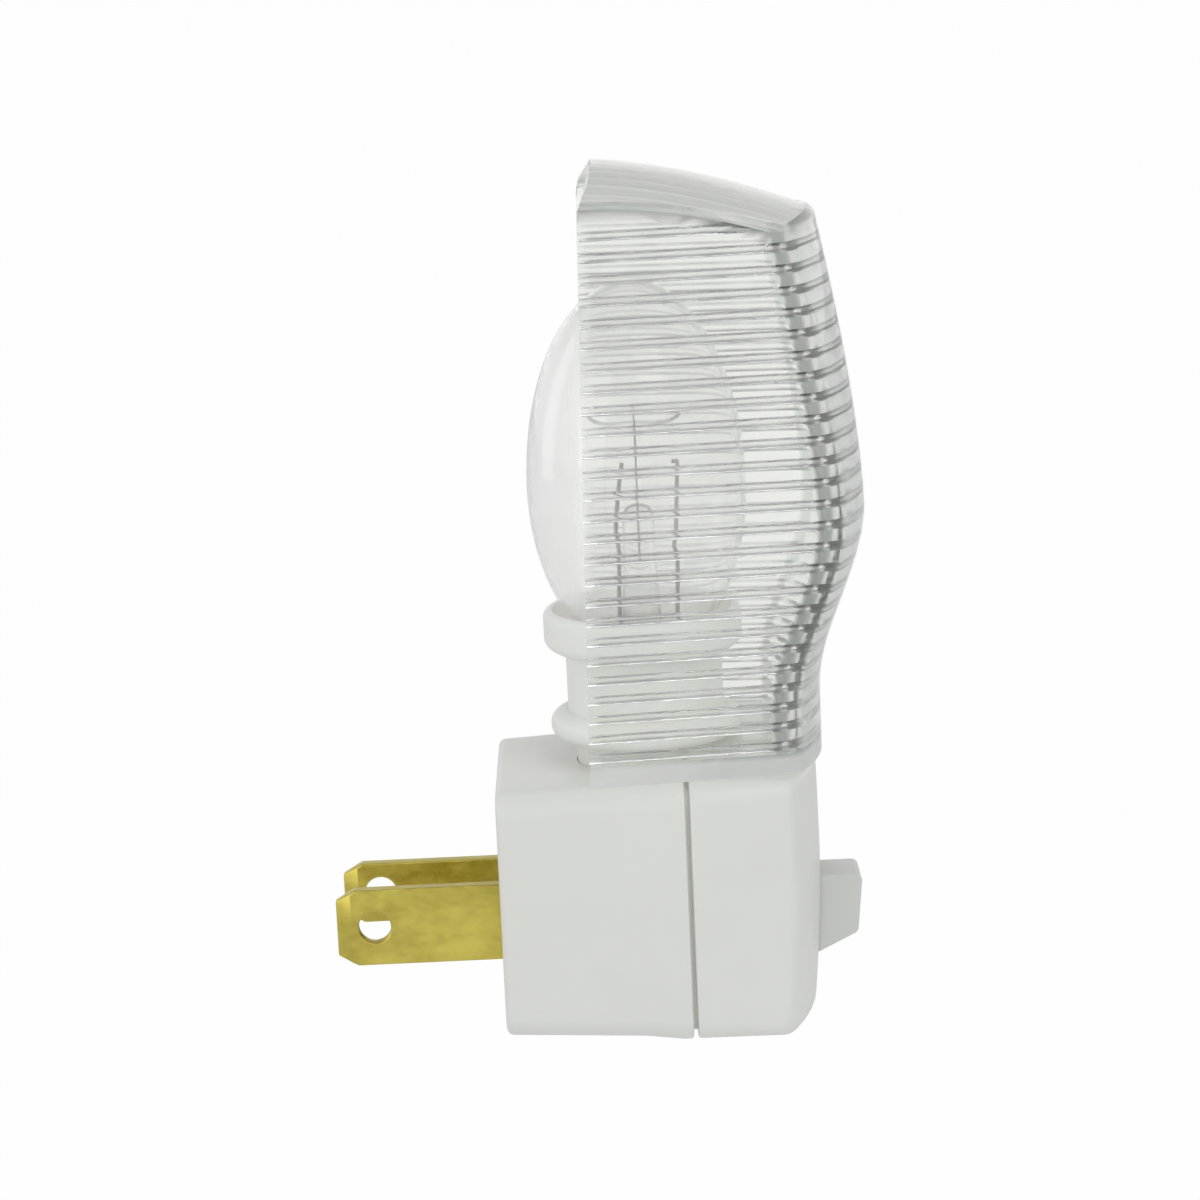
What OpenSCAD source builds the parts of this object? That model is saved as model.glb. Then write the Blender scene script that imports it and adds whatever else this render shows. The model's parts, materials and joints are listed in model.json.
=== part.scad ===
// Plug-in night light: polarised plug, two-piece housing, candelabra socket, C7 lamp,
// paddle switch and a clear ribbed shade that slides on under the socket flange.
// +Z is up, the wall is the plane Y = 0 with the blades along +Y, the front faces -Y.
// The origin lies on the wall face, midway between the two blades. Millimetres.

/* [Plug] */
// Spacing of the two blades, centre to centre
blade_spacing = 12.7; // [12:0.1:13.4]
// Thickness of a blade, a strip folded on itself
blade_t = 1.5; // [1.3:0.1:1.8]
// Width of the neutral blade
neutral_w = 7.94; // [7:0.02:8.4]
// Width of the line blade
hot_w = 6.35; // [5.6:0.05:6.8]
// Length of the blades out of the wall face
blade_len = 16.9; // [15:0.1:19]
// Radius of the hole through each blade
blade_hole_r = 1.65; // [1.2:0.05:1.9]
// Distance of that hole from the blade tip
blade_hole_back = 3.85; // [3:0.05:5]
// Chamfer of the tip along the blade
tip_chamfer_len = 2.0; // [0.8:0.1:2.6]
// Chamfer of the tip across the blade
tip_chamfer_w = 1.1; // [0.4:0.1:1.5]
// Length of the thinned end of the tip
coin_len = 1.5; // [0.5:0.1:2.5]
// Thickness taken off each face of the tip
coin_depth = 0.3; // [0.1:0.05:0.5]

/* [Housing] */
// Half width at the parting line
rim_half_w = 14.65; // [14:0.05:15.5]
// Top of the housing at the parting line
rim_top = 15.45; // [15:0.05:16.2]
// Bottom of the housing at the parting line
rim_bottom = -11.5; // [-12.5:0.05:-11.3]
// How much narrower each side is at the wall face
side_draft = 1.7; // [0.8:0.05:2.2]
// How much lower the top is at the wall face, and how much higher the bottom
end_draft = 0.7; // [0.3:0.05:1]
// Depth at which the draft turns into the rim
shoulder_depth = 14.2; // [11:0.1:16]
// Depth of the rear housing at its rim
parting_depth = 18.9; // [18:0.1:19.2]
// Width of the groove between the two halves
groove_w = 0.44; // [0.2:0.02:0.8]
// Depth of that groove from the outside
groove_d = 0.9; // [0.5:0.05:1.2]
// Corner radius of the housing seen from the front
corner_r = 2.5; // [1.5:0.1:3.5]
// Wall thickness of both halves
wall = 1.8; // [1.5:0.1:2.1]
// Thickness of the wall that carries the blades
back_wall = 2.2; // [1.8:0.1:2.6]
// Width of the two snap hooks
hook_w = 6; // [4:0.5:8]
// Length of the hooks past the parting line
hook_len = 5; // [4:0.25:6]

/* [Front] */
// Depth of the cover from the parting line to the middle of its front face
cover_len = 14.0; // [13.6:0.1:15]
// How much narrower each side is at the front corners
front_draft = 0.45; // [0.1:0.05:1]
// Bow of the front face in plan
front_bow = 3.2; // [1.5:0.1:4]
// Height of the front face's fullest line
crown_z = 3.5; // [2:0.25:6]
// Setback of the front face at its bottom edge
bottom_setback = 0.95; // [0.3:0.05:1.5]
// Setback of the front face at its top edge
top_setback = 0.15; // [0:0.05:0.4]
// How much lower the cover's top is at the front
top_fall = 0.25; // [0:0.05:0.5]
// How much higher the cover's bottom is at the front
bottom_rise = 0.4; // [0:0.05:0.8]
// Radius of the bottom front edge
bottom_edge_r = 3; // [1.5:0.1:3.5]
// Radius of the top front edge
top_edge_r = 0.8; // [0.4:0.1:1.2]

/* [Switch] */
// Distance of the paddle's pivot behind the middle of the front face
pivot_back = 4.9; // [4.6:0.05:5.1]
// Height of the paddle's pivot
pivot_z = -1.8; // [-2.2:0.1:-1.4]
// Radius of the paddle's drum
drum_r = 5.65; // [5.3:0.05:5.8]
// Width of the paddle
lever_w = 6; // [5:0.1:6.4]
// Reach of the paddle's tip from the pivot
lever_reach = 8.95; // [8:0.05:10]
// Swing of the paddle from on to off
lever_throw = 26.6; // [20:0.2:27]
// Height of the paddle's end face
tip_h = 8.1; // [7:0.1:8.4]
// Set back of the lower corner of that face
tip_rake = 0.5; // [0:0.05:1]
// Radius of the paddle's two outer corners
lever_corner_r = 1.1; // [0.6:0.05:1.4]
// Radius of the switch pin
pin_r = 1.0; // [0.8:0.05:1.3]
// Gap round the paddle in its slot
slot_gap = 0.25; // [0.15:0.05:0.4]

/* [Socket] */
// Depth of the socket's axis
socket_depth = 15.6; // [15.3:0.05:15.9]
// Radius of the collar
collar_r = 10.1; // [9.8:0.05:10.6]
// Height of the collar
collar_h = 4.4; // [4:0.1:5]
// Radius of the neck
neck_r = 7.95; // [7.8:0.05:8.4]
// Height of the neck between the collar and the lower flange
neck_h = 6.1; // [5.6:0.1:6.6]
// Height of the lower flange
flange_h = 2.7; // [2.5:0.05:3]
// Radius of the lower flange
flange_r = 9.75; // [9.2:0.05:10.2]
// Radius of the throat that the shade slides on
throat_r = 7.2; // [7.1:0.05:7.4]
// Radius of the foot inside the housing
foot_r = 8.2; // [8:0.05:8.6]
// Height of the foot
foot_h = 2; // [1.8:0.05:2.2]
// How far the foot's shoulder lies below the top of the housing
foot_drop = 2.35; // [2.3:0.05:2.8]
// Thickness of the socket's floor
socket_floor = 1.2; // [1:0.05:1.4]
// Radius of the socket's bore
socket_bore_r = 6.6; // [6.5:0.02:6.7]
// Radius of the mouth of the collar
mouth_r = 9.1; // [8.9:0.05:9.4]

/* [Lamp] */
// Pitch of the candelabra thread
thread_pitch = 2.54; // [2.2:0.02:2.9]
// Mean radius of the lamp's rolled thread
thread_r = 5.65; // [5.5:0.01:5.75]
// Half depth of the rolled thread
thread_e = 0.3; // [0.15:0.01:0.32]
// Radial clearance between the two threads
thread_gap = 0.17; // [0.14:0.01:0.2]
// Wall of the rolled brass shells
shell_t = 0.3; // [0.25:0.01:0.35]
// How deep the top of the lamp's brass shell sits in the collar
cap_inset = 2.5; // [2.3:0.05:2.8]
// Length of the lamp's brass shell
cap_len = 11.1; // [10.5:0.05:11.4]
// Height of the black insulator
insulator_h = 2.1; // [1.8:0.05:2.3]
// Height of the solder tip
tip_len = 1.3; // [1:0.05:1.5]
// Largest radius of the glass
glass_r = 11.1; // [10.6:0.05:11.4]
// Height of the glass's widest ring above the brass shell
glass_rise = 15.1; // [14.6:0.1:15.6]
// Height of the glass above its widest ring
glass_up = 20.8; // [19:0.1:22]
// Half height of the ellipse below it
glass_down = 18.2; // [17.6:0.1:18.6]
// Thickness of the glass
glass_t = 0.55; // [0.4:0.05:0.7]

/* [Shade] */
// Gap under the shade's floor and over it
floor_gap = 0.15; // [0.1:0.05:0.25]
// Thickness of the shade's floor
floor_t = 1.95; // [1.8:0.05:2]
// Wall thickness of the shade
shade_wall = 1.2; // [0.9:0.05:1.4]
// How far each side stands out past the housing at the open back
shade_over = 0.15; // [0:0.05:0.8]
// How much narrower each side is at the front corners
shade_taper = 2.2; // [1.6:0.05:2.6]
// Distance of the open back behind the socket's axis, at the bottom
shade_reach_back = 6.0; // [5.4:0.05:6.4]
// How much further out the back edge is at the top
back_lean = 1.3; // [0:0.1:2]
// How far the front corners stand out past those of the cover, at the bottom
corner_over = 0.7; // [0:0.05:1.2]
// How far the front corners swell out
bulge = 5.1; // [4:0.1:5.6]
// Height of the shade at its open back
shade_h = 60.7; // [59:0.1:62]
// Height above the shade's bottom at which the front starts to swell
swell_h = 6.4; // [4:0.2:8]
// Height of the bulge above the shade's bottom
bulge_h = 25.4; // [23:0.2:27]
// How far the front corners lean back from the bulge to the top
top_lean = 3.6; // [2.5:0.1:4.2]
// Bow of the front wall in plan
shade_bow = 3.1; // [2:0.1:3.6]
// Drop of the crest from back to front
crest_drop = 6.5; // [5:0.1:7.5]
// Rise of the top's arch over its edges
arch_rise = 3.2; // [2:0.1:4]
// Thickness of the top wall
top_wall = 1.0; // [0.8:0.05:1.3]
// Radius of the two front corners
shade_corner_r = 1.3; // [0.8:0.1:1.8]
// Pitch of the inner ribs
rib_pitch = 2.08; // [1.9:0.02:2.4]
// Width of one rib
rib_w = 0.9; // [0.7:0.05:1.5]
// Height of the ribs off the wall
rib_h = 0.4; // [0.2:0.05:0.6]
// Gap between the shade's slot and the socket's throat
slide_gap = 0.3; // [0.2:0.05:0.4]

/* [Contacts] */
// Thickness of the brass straps
strap_t = 0.5; // [0.4:0.05:0.6]
// Width of the brass straps
strap_w = 3; // [2.6:0.1:3.2]
// Radius of the rivets
rivet_r = 0.8; // [0.6:0.05:0.9]
// Gap between parts that slide together or pass through each other
fit_gap = 0.1; // [0.05:0.01:0.15]
// Gap left at each open contact
contact_gap = 0.12; // [0.08:0.01:0.2]

/* [Hidden] */
$fn = 48;

white = [0.86, 0.86, 0.84];
brass = [0.78, 0.68, 0.36];
steel = [0.70, 0.71, 0.73];
eps = 0.01;
hull_fn = 32;

// Places of the main forms, each from what it stands on or lines up with
back_half_w = rim_half_w - side_draft;
back_top = rim_top - end_draft;
back_bottom = rim_bottom + end_draft;
front_half_w = rim_half_w - front_draft;
front_depth = parting_depth + cover_len;
front_top = rim_top - top_fall;
front_bottom = rim_bottom + bottom_rise;
pivot_depth = front_depth - pivot_back;
foot_top = rim_top - foot_drop;
foot_z = foot_top - foot_h;
shade_bottom = rim_top + floor_gap;
flange_z = shade_bottom + floor_t + floor_gap;
flange_top = flange_z + flange_h;
collar_top = flange_top + neck_h + collar_h;
cap_top = collar_top - cap_inset;
glass_z = cap_top + glass_rise;
shade_half_back = rim_half_w + shade_over;
shade_half_front = shade_half_back - shade_taper;
shade_back = socket_depth - shade_reach_back;
shade_foot = front_depth - front_bow + corner_over;
shade_bulge = shade_foot + bulge;
swell_z = shade_bottom + swell_h;
bulge_z = shade_bottom + bulge_h;
crest_back = shade_bottom + shade_h;

// Blades and what traps them
blade_x = blade_spacing / 2;
leaf_t = blade_t / 2;
ear_start = back_wall;
ear_len = 2.4;
ear_h = 1.2;
tail_end = 12.4;
tail_h = 3.6;
retainer_t = 1.6;
retainer_depth = ear_start + ear_len;
retainer_h = 15;
fold_end = retainer_depth + retainer_t;

// Straps: each lies on the inner face of a blade's tail
strap_x = blade_x - strap_t;
tab_t = 0.4;
tab_x = strap_x - tab_t;
tab_bottom = foot_z - 3.1;
tab_rivet_z = (tab_bottom + foot_z) / 2 - 0.2;
thin_t = strap_t - 0.1;
strap_start = fold_end + 0.3;

// Rivets
rivet_depth = (fold_end + tail_end) / 2;
rivet_hole_r = rivet_r + fit_gap / 2;
head_t = 0.35;
head_r = rivet_r + 0.5;

// Levels of the lamp's cap and the socket
cap_bottom = cap_top - cap_len;
tip_top = cap_bottom - insulator_h;
tip_bottom = tip_top - tip_len;
socket_floor_z = foot_z + socket_floor;
ledge_z = cap_bottom - 1.3;
ledge_r = tab_x;
shell_r = thread_r + thread_gap;
band_h = 1.2;
shell_top = cap_top - 1.2;
leaf_back = 2.4;
leaf_bend = 3.6;
cap_inner_r = thread_r - thread_e - 0.25;
tip_r = 2.2;
thread_fn = 20;
thread_steps = 10;
thread_run = 0.6;

// Switch
slot_z0 = pivot_z - drum_r - slot_gap;
slot_z1 = pivot_z + drum_r + slot_gap;
slot_half_w = lever_w / 2 + slot_gap;
boss_t = 2.8;
boss_half_h = 2.6;
pin_half = slot_half_w + boss_t;
bridge_t = 0.6;
bridge_half_w = 6.2;
bridge_len = 1.6;
arm_half_w = 2.4;
arm_h = 1.6;
bridge_depth = pivot_depth - drum_r - 1.2;
bridge_z = pivot_z - 2.6;
arm_z = bridge_z + bridge_t;
pad_z = bridge_z - contact_gap;
pad_depth = bridge_depth - 0.8;
pad_len = 2.6;
leaf_spring_t = 0.3;
leaf_half_w = lever_w / 2 - 0.8;
leaf_anchor = pivot_depth + 1;
leaf_anchor_h = 2;

// Inside the lamp
stem_foot = cap_bottom + 3;
stem_top = glass_z - 2.1;
lead_x = 2.7;
lead_top = glass_z + 2.1;
wire_r = 0.22;
wire_fn = 16;
wire_root = 6;
fork_rise = 3;
filament_r = 4.6;
filament_z = glass_z + 7;
filament_wire_r = 0.18;
lamp_neck_r = thread_r - thread_e - 0.45;

// Shade
cavity_z = shade_bottom + floor_t;
corner_top = crest_back - crest_drop - arch_rise + 1.2;
crest_front = shade_bulge - top_lean + shade_bow;
rib_floor = cavity_z + 0.6;
rib_count = floor((crest_back - rib_floor) / rib_pitch);
front_cols = 6;

// Face of a rib, from 0 on the wall to 1 on the crest, at four stations of each pitch
rib_stations = [
    [0, 0],
    [rib_pitch - rib_w, 0],
    [rib_pitch - rib_w * 0.72, 1],
    [rib_pitch - rib_w * 0.28, 1]
];

// Levels of the ribbed cavity, each with its rib height
rib_levels = concat(
    [[cavity_z, 0]],
    [for (k = [0:rib_count], s = rib_stations) [rib_floor + k * rib_pitch + s[0], rib_h * s[1]]],
    [[crest_back + 4, 0]]
);

// Front arc of the cover
bow_r = (front_half_w * front_half_w + front_bow * front_bow) / (2 * front_bow);
bow_centre = front_depth - bow_r;

// Shoulder of the rear housing, just behind its rim
shoulder_half_w = rim_half_w - 0.6;
shoulder_top = rim_top - 0.25;
shoulder_bottom = rim_bottom + 0.3;

// Snap hooks
hook_t = 1.3;
hook_barb = 0.6;
hook_barb_len = 1.5;
hook_root = 4;
hook_end = parting_depth - hook_len;
hook_outer = rim_half_w - wall - fit_gap;

// ---------- helpers ----------

// A point given as x, distance from the wall and height
module at(x, depth, z) {
    translate([x, -depth, z]) children();
}

// A sheet cut to [depth, z] points, from x0 to x0 + t
module side_sheet(points, x0, t) {
    translate([x0 + t, 0, 0]) rotate([90, 0, -90]) linear_extrude(t) polygon(points);
}

// A sheet cut to [x, z] points, from depth d0 to d0 + t
module face_sheet(points, d0, t) {
    translate([0, -d0, 0]) rotate([90, 0, 0]) linear_extrude(t) polygon(points);
}

// A block between two depths and two heights
module block(x0, x1, d0, d1, z0, z1) {
    translate([x0, -d1, z0]) cube([x1 - x0, d1 - d0, z1 - z0]);
}

// A round bar along X
module bar_x(x0, x1, depth, z, r) {
    at(x0, depth, z) rotate([0, 90, 0]) cylinder(r = r, h = x1 - x0);
}

// Corner discs of a rounded plate that faces the wall
module plate(half_w, z0, z1, r, depth, t = eps) {
    for (x = [-half_w + r, half_w - r], z = [z0 + r, z1 - r]) {
        at(x, depth, z) rotate([90, 0, 0]) cylinder(r = r, h = t, $fn = hull_fn);
    }
}

// A solid through closed sections with equal counts, each counter-clockwise
// when seen from the last one
module skin(sections) {
    n = len(sections);
    m = len(sections[0]);
    points = [for (s = sections, p = s) p];
    sides = [for (i = [0:n - 2], j = [0:m - 1], k = [0, 1])
        let (a = i * m + j, b = i * m + (j + 1) % m, c = a + m, d = b + m)
        k == 0 ? [a, d, b] : [a, c, d]];
    first = [[for (j = [0:m - 1]) j]];
    last = [[for (j = [m - 1:-1:0]) (n - 1) * m + j]];
    polyhedron(points, concat(sides, first, last), convexity = 10);
}

// A solid swept round the Z axis, closed on itself, from profiles at equal angles
module ring_skin(sections) {
    n = len(sections);
    m = len(sections[0]);
    points = [for (s = sections, p = s) p];
    faces = [for (i = [0:n - 1], j = [0:m - 1], k = [0, 1])
        let (e = (i + 1) % n, up = (j + 1) % m)
        let (a = i * m + j, b = i * m + up, c = e * m + j, d = e * m + up)
        k == 0 ? [a, b, d] : [a, d, c]];
    polyhedron(points, faces, convexity = 10);
}

// Soft step from 0 to 1
function smooth(t) = let (u = max(0, min(1, t))) u * u * (3 - 2 * u);

// An arc as [x, y] points
function arc(cx, cy, r, a0, a1, n) = [for (i = [0:n]) let (a = a0 + (a1 - a0) * i / n)
    [cx + r * cos(a), cy + r * sin(a)]];

// A list in reverse
function backwards(v) = [for (i = [len(v) - 1:-1:0]) v[i]];

// ---------- plug ----------

// One blade: folded strip with a drilled, thinned tip, trapping ears and a single-leaf tail
module blade(x, w) {
    side = sign(x);
    h = w / 2;
    outline = [
        [-blade_len, -h + tip_chamfer_w],
        [-blade_len + tip_chamfer_len, -h],
        [ear_start, -h],
        [ear_start, -h - ear_h],
        [retainer_depth, -h - ear_h],
        [retainer_depth, -tail_h / 2],
        [fold_end, -tail_h / 2],
        [fold_end, tail_h / 2],
        [retainer_depth, tail_h / 2],
        [retainer_depth, h + ear_h],
        [ear_start, h + ear_h],
        [ear_start, h],
        [-blade_len + tip_chamfer_len, h],
        [-blade_len, h - tip_chamfer_w]
    ];
    coin = [
        [-blade_len, 0],
        [-blade_len + coin_len, 0],
        [-blade_len, coin_depth]
    ];
    difference() {
        union() {
            side_sheet(outline, x - blade_t / 2, blade_t);
            tail_x = side > 0 ? x : x - leaf_t;
            block(tail_x, tail_x + leaf_t, fold_end - eps, tail_end, -tail_h / 2, tail_h / 2);
        }
        bar_x(x - blade_t, x + blade_t, -blade_len + blade_hole_back, 0, blade_hole_r);
        bar_x(x - blade_t, x + blade_t, rivet_depth, 0, rivet_hole_r);
        for (s = [-1, 1]) {
            coin_cut(x, s, h);
        }
    }
}

// The wedge that thins one face of a blade's tip
module coin_cut(x, s, h) {
    outer = x + s * blade_t / 2;
    translate([0, 0, -h]) linear_extrude(2 * h) polygon([
        [outer + s * eps, blade_len + eps],
        [outer - s * coin_depth, blade_len + eps],
        [outer - s * coin_depth, blade_len],
        [outer, blade_len - coin_len],
        [outer + s * eps, blade_len - coin_len]
    ]);
}

module neutral_blade() {
    color(brass) blade(-blade_x, neutral_w);
}

module hot_blade() {
    color(brass) blade(blade_x, hot_w);
}

// Insulating plate behind the blades' ears, which keeps both from being pushed in
module blade_retainer() {
    half_w = back_half_w - wall - 0.4;
    hole_half_w = blade_t / 2 + fit_gap;
    hole_half_h = tail_h / 2 + fit_gap;
    color([0.45, 0.36, 0.26]) difference() {
        block(-half_w, half_w, retainer_depth, fold_end, -retainer_h / 2, retainer_h / 2);
        for (x = [-blade_x, blade_x]) {
            block(x - hole_half_w, x + hole_half_w, retainer_depth - 1, fold_end + 1,
                -hole_half_h, hole_half_h);
        }
    }
}

// ---------- housing ----------

module rear_form() {
    hull() {
        plate(back_half_w, back_bottom, back_top, corner_r, 0);
        plate(shoulder_half_w, shoulder_bottom, shoulder_top, corner_r, shoulder_depth);
    }
    hull() {
        plate(shoulder_half_w, shoulder_bottom, shoulder_top, corner_r, shoulder_depth);
        plate(rim_half_w, rim_bottom, rim_top, corner_r, parting_depth - 1, 1);
    }
}

// The lip inside the rim, which the front cover stands on
module rim_lip() {
    hull() {
        plate(rim_half_w - groove_d, rim_bottom + groove_d, rim_top - groove_d,
            corner_r - groove_d, parting_depth - 1, 1 + groove_w);
    }
}

module rear_cavity() {
    hull() {
        plate(back_half_w - wall, back_bottom + wall, back_top - wall, corner_r - wall / 2, back_wall);
        plate(rim_half_w - wall, rim_bottom + wall, rim_top - wall, corner_r - wall / 2,
            parting_depth + groove_w, 1);
    }
}

// The round hole in the top, half in each half of the housing, that holds the socket's throat
module socket_hole() {
    at(0, socket_depth, foot_top - 1) cylinder(r = throat_r + fit_gap, h = rim_top - foot_top + 2);
    at(0, socket_depth, foot_z - 1) cylinder(r = foot_r + fit_gap, h = foot_top - foot_z + 1 + fit_gap);
}

module rear_housing() {
    color(white) difference() {
        union() {
            rear_form();
            rim_lip();
        }
        rear_cavity();
        socket_hole();
        blade_slot(-blade_x, neutral_w);
        blade_slot(blade_x, hot_w);
        for (s = [-1, 1]) {
            hook_window(s);
        }
    }
}

// The slot for one blade, which stops at its ears
module blade_slot(x, w) {
    block(x - blade_t / 2 - fit_gap, x + blade_t / 2 + fit_gap, -1, back_wall + 1,
        -w / 2 - fit_gap, w / 2 + fit_gap);
}

// The recess that takes one hook's barb
module hook_window(s) {
    x0 = hook_outer - 1;
    x1 = hook_outer + hook_barb;
    half = hook_w / 2 + fit_gap;
    block(s > 0 ? x0 : -x1, s > 0 ? x1 : -x0,
        hook_end - fit_gap, hook_end + hook_barb_len + 2 * fit_gap, -half, half);
}

// One snap hook, with its barb turned outwards
module snap_hook(s) {
    slope = (rim_half_w - back_half_w) * hook_len / parting_depth;
    root = parting_depth + groove_w;
    tip = hook_outer - slope - fit_gap;
    profile = [
        [hook_outer - hook_t, root + hook_root],
        [rim_half_w - wall / 2, root + hook_root],
        [rim_half_w - wall / 2, root],
        [hook_outer, root],
        [tip, hook_end + hook_barb_len],
        [tip + hook_barb, hook_end + hook_barb_len],
        [tip, hook_end],
        [hook_outer - hook_t - slope, hook_end]
    ];
    translate([0, 0, -hook_w / 2]) linear_extrude(hook_w)
        polygon([for (p = profile) [s * p[0], -p[1]]]);
}

// The outside of the front cover, or its inside when inset
module cover_form(inset, rear) {
    hull() {
        plate(rim_half_w - inset, rim_bottom + inset, rim_top - inset, corner_r - inset / 2, rear);
        front_arc(front_depth - bottom_setback - inset, front_bottom + inset, bottom_edge_r, 1, inset);
        front_arc(front_depth - inset, crown_z, 0.5, 0, inset);
        front_arc(front_depth - top_setback - inset, front_top - inset, top_edge_r, -1, inset);
    }
}

// A round edge along the bowed front: dir 1 stands on z, -1 hangs from it, 0 is centred
module front_arc(depth, z, r, dir, inset) {
    reach = depth - bow_centre;
    a = asin((front_half_w - inset) / reach);
    at(0, bow_centre, z + dir * r) rotate([0, 0, -90 - a])
        rotate_extrude(angle = 2 * a) translate([reach - r, 0]) circle(r = r, $fn = 16);
}

// A bearing block beside the slot for one end of the switch pin
module pin_boss(s) {
    x0 = s > 0 ? slot_half_w : -slot_half_w - boss_t;
    block(x0, x0 + boss_t, pivot_depth - boss_half_h, front_depth - wall - 0.1,
        pivot_z - boss_half_h, pivot_z + boss_half_h);
}

module front_cover() {
    rear = parting_depth + groove_w;
    color(white) difference() {
        union() {
            difference() {
                cover_form(0, rear);
                cover_form(wall, rear - 1);
            }
            for (s = [-1, 1]) {
                snap_hook(s);
                pin_boss(s);
            }
            block(-leaf_half_w, leaf_half_w, leaf_anchor, front_depth - wall / 2,
                slot_z1 + leaf_spring_t, slot_z1 + leaf_spring_t + leaf_anchor_h);
        }
        socket_hole();
        block(-slot_half_w, slot_half_w, front_depth - 2 * wall, front_depth + 2, slot_z0, slot_z1);
        bar_x(-pin_half - 1, pin_half + 1, pivot_depth, pivot_z, pin_r + fit_gap / 4);
    }
}

// ---------- contacts ----------

// From the neutral blade's tail up to the tab of the screw shell
module neutral_strap() {
    half = tail_h / 2;
    d0 = socket_depth - strap_w / 2;
    d1 = socket_depth + strap_w / 2;
    color(brass) difference() {
        side_sheet([
            [strap_start, -half],
            [tail_end, -half],
            [tail_end, half],
            [d1, half + 3],
            [d1, foot_z - 0.3],
            [d0, foot_z - 0.3],
            [d0, half + 4],
            [strap_start, half]
        ], -blade_x, strap_t);
        bar_x(-blade_x - 1, -blade_x + 1, rivet_depth, 0, rivet_hole_r);
        bar_x(-blade_x - 1, -blade_x + 1, socket_depth, tab_rivet_z, rivet_hole_r);
    }
}

// From the line blade's tail forward to the pad under the bridge
module hot_strap() {
    pad_end = pad_depth + pad_len;
    color(brass) difference() {
        union() {
            side_sheet([
                [strap_start, -tail_h / 2],
                [tail_end - strap_w / 2, -tail_h / 2],
                [pad_depth, pad_z - strap_t],
                [pad_end, pad_z - strap_t],
                [pad_end, pad_z],
                [pad_depth + strap_t, pad_z],
                [tail_end, tail_h / 2],
                [strap_start, tail_h / 2]
            ], strap_x, strap_t);
            block(slot_half_w, strap_x + eps, pad_depth, pad_end, pad_z - strap_t, pad_z);
        }
        bar_x(strap_x - 1, strap_x + 1, rivet_depth, 0, rivet_hole_r);
    }
}

// From the rivet under the socket down to the other pad
module lamp_strap() {
    half = strap_w / 2;
    drop = pad_depth - thin_t;
    color(brass) difference() {
        union() {
            block(-half, half, socket_depth - half, drop + eps, foot_z - thin_t, foot_z);
            face_sheet([
                [-half, foot_z],
                [half, foot_z],
                [half, foot_z - 4],
                [-slot_half_w, pad_z + 8],
                [-slot_half_w, pad_z - strap_t],
                [-bridge_half_w, pad_z - strap_t],
                [-bridge_half_w, pad_z + 6],
                [-half, foot_z - 5]
            ], drop, thin_t);
            block(-bridge_half_w, -slot_half_w, drop, pad_depth + pad_len, pad_z - strap_t, pad_z);
        }
        at(0, socket_depth, foot_z - 1) cylinder(r = rivet_hole_r, h = 2);
    }
}

// A rivet along X that spans x0 to x1, with a low head at each end
module rivet_x(x0, x1, depth, z) {
    bar_x(x0, x1, depth, z, rivet_r);
    bar_x(x0 - head_t, x0, depth, z, head_r);
    bar_x(x1, x1 + head_t, depth, z, head_r);
}

module strap_rivets() {
    color(steel) {
        rivet_x(-blade_x - leaf_t, -blade_x + strap_t, rivet_depth, 0);
        rivet_x(strap_x, blade_x + leaf_t, rivet_depth, 0);
        rivet_x(-blade_x, -blade_x + strap_t + tab_t, socket_depth, tab_rivet_z);
    }
}

// ---------- socket ----------

module socket_body() {
    mouth_z = cap_top - 0.6;
    collar_z = collar_top - collar_h;
    lip_r = 0.8;
    foot_edge_r = 1.1;
    flange_edge = 1.3;
    collar_edge = 1.4;
    color(white) at(0, socket_depth, 0) difference() {
        rotate_extrude() polygon(concat(
            [
                [0, foot_z],
                [foot_r, foot_z],
                [foot_r, foot_top],
                [throat_r, foot_top],
                [throat_r, flange_z]
            ],
            arc(flange_r - foot_edge_r, flange_z + foot_edge_r, foot_edge_r, -90, 0, 5),
            [for (a = [0:15:90])
                [neck_r + (flange_r - neck_r) * cos(a), flange_top - flange_edge * (1 - sin(a))]],
            [[neck_r, collar_z]],
            [for (a = [15:15:90])
                [neck_r + (collar_r - neck_r) * sin(a), collar_z + collar_edge * (1 - cos(a))]],
            arc(collar_r - lip_r, collar_top - lip_r, lip_r, 0, 90, 4),
            [
                [mouth_r, collar_top],
                [socket_bore_r, mouth_z],
                [socket_bore_r, ledge_z],
                [ledge_r, ledge_z],
                [ledge_r, socket_floor_z],
                [0, socket_floor_z]
            ]
        ));
        translate([0, 0, foot_z - 1]) cylinder(r = rivet_hole_r, h = socket_floor + 2);
        translate([-strap_x - fit_gap, -strap_w / 2 - fit_gap, foot_z - 1])
            cube([tab_t + 2 * fit_gap, strap_w + 2 * fit_gap, ledge_z - foot_z + 1 + eps]);
    }
}

// Half depth of a rolled thread at a height: it fades out at both ends
function rolled(z, z0, z1) = thread_e * min(1, max(0, min(z - z0, z1 - z) / thread_run));

// One line of points up a rolled wall at angle a. Where the thread fades, the wall
// runs out to its crest (side 1, a socket) or in to its root (side -1, a lamp).
// Side 0 is a plain wall.
function roll_points(a, r, z0, z1, n, side) = [for (i = [0:n])
    let (z = z0 + (z1 - z0) * i / n, e = rolled(z, z0, z1))
    let (q = side == 0 ? r : r + side * (thread_e - e) + e * cos(a - 360 * z / thread_pitch))
    [q * cos(a), q * sin(a), z]];

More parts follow.
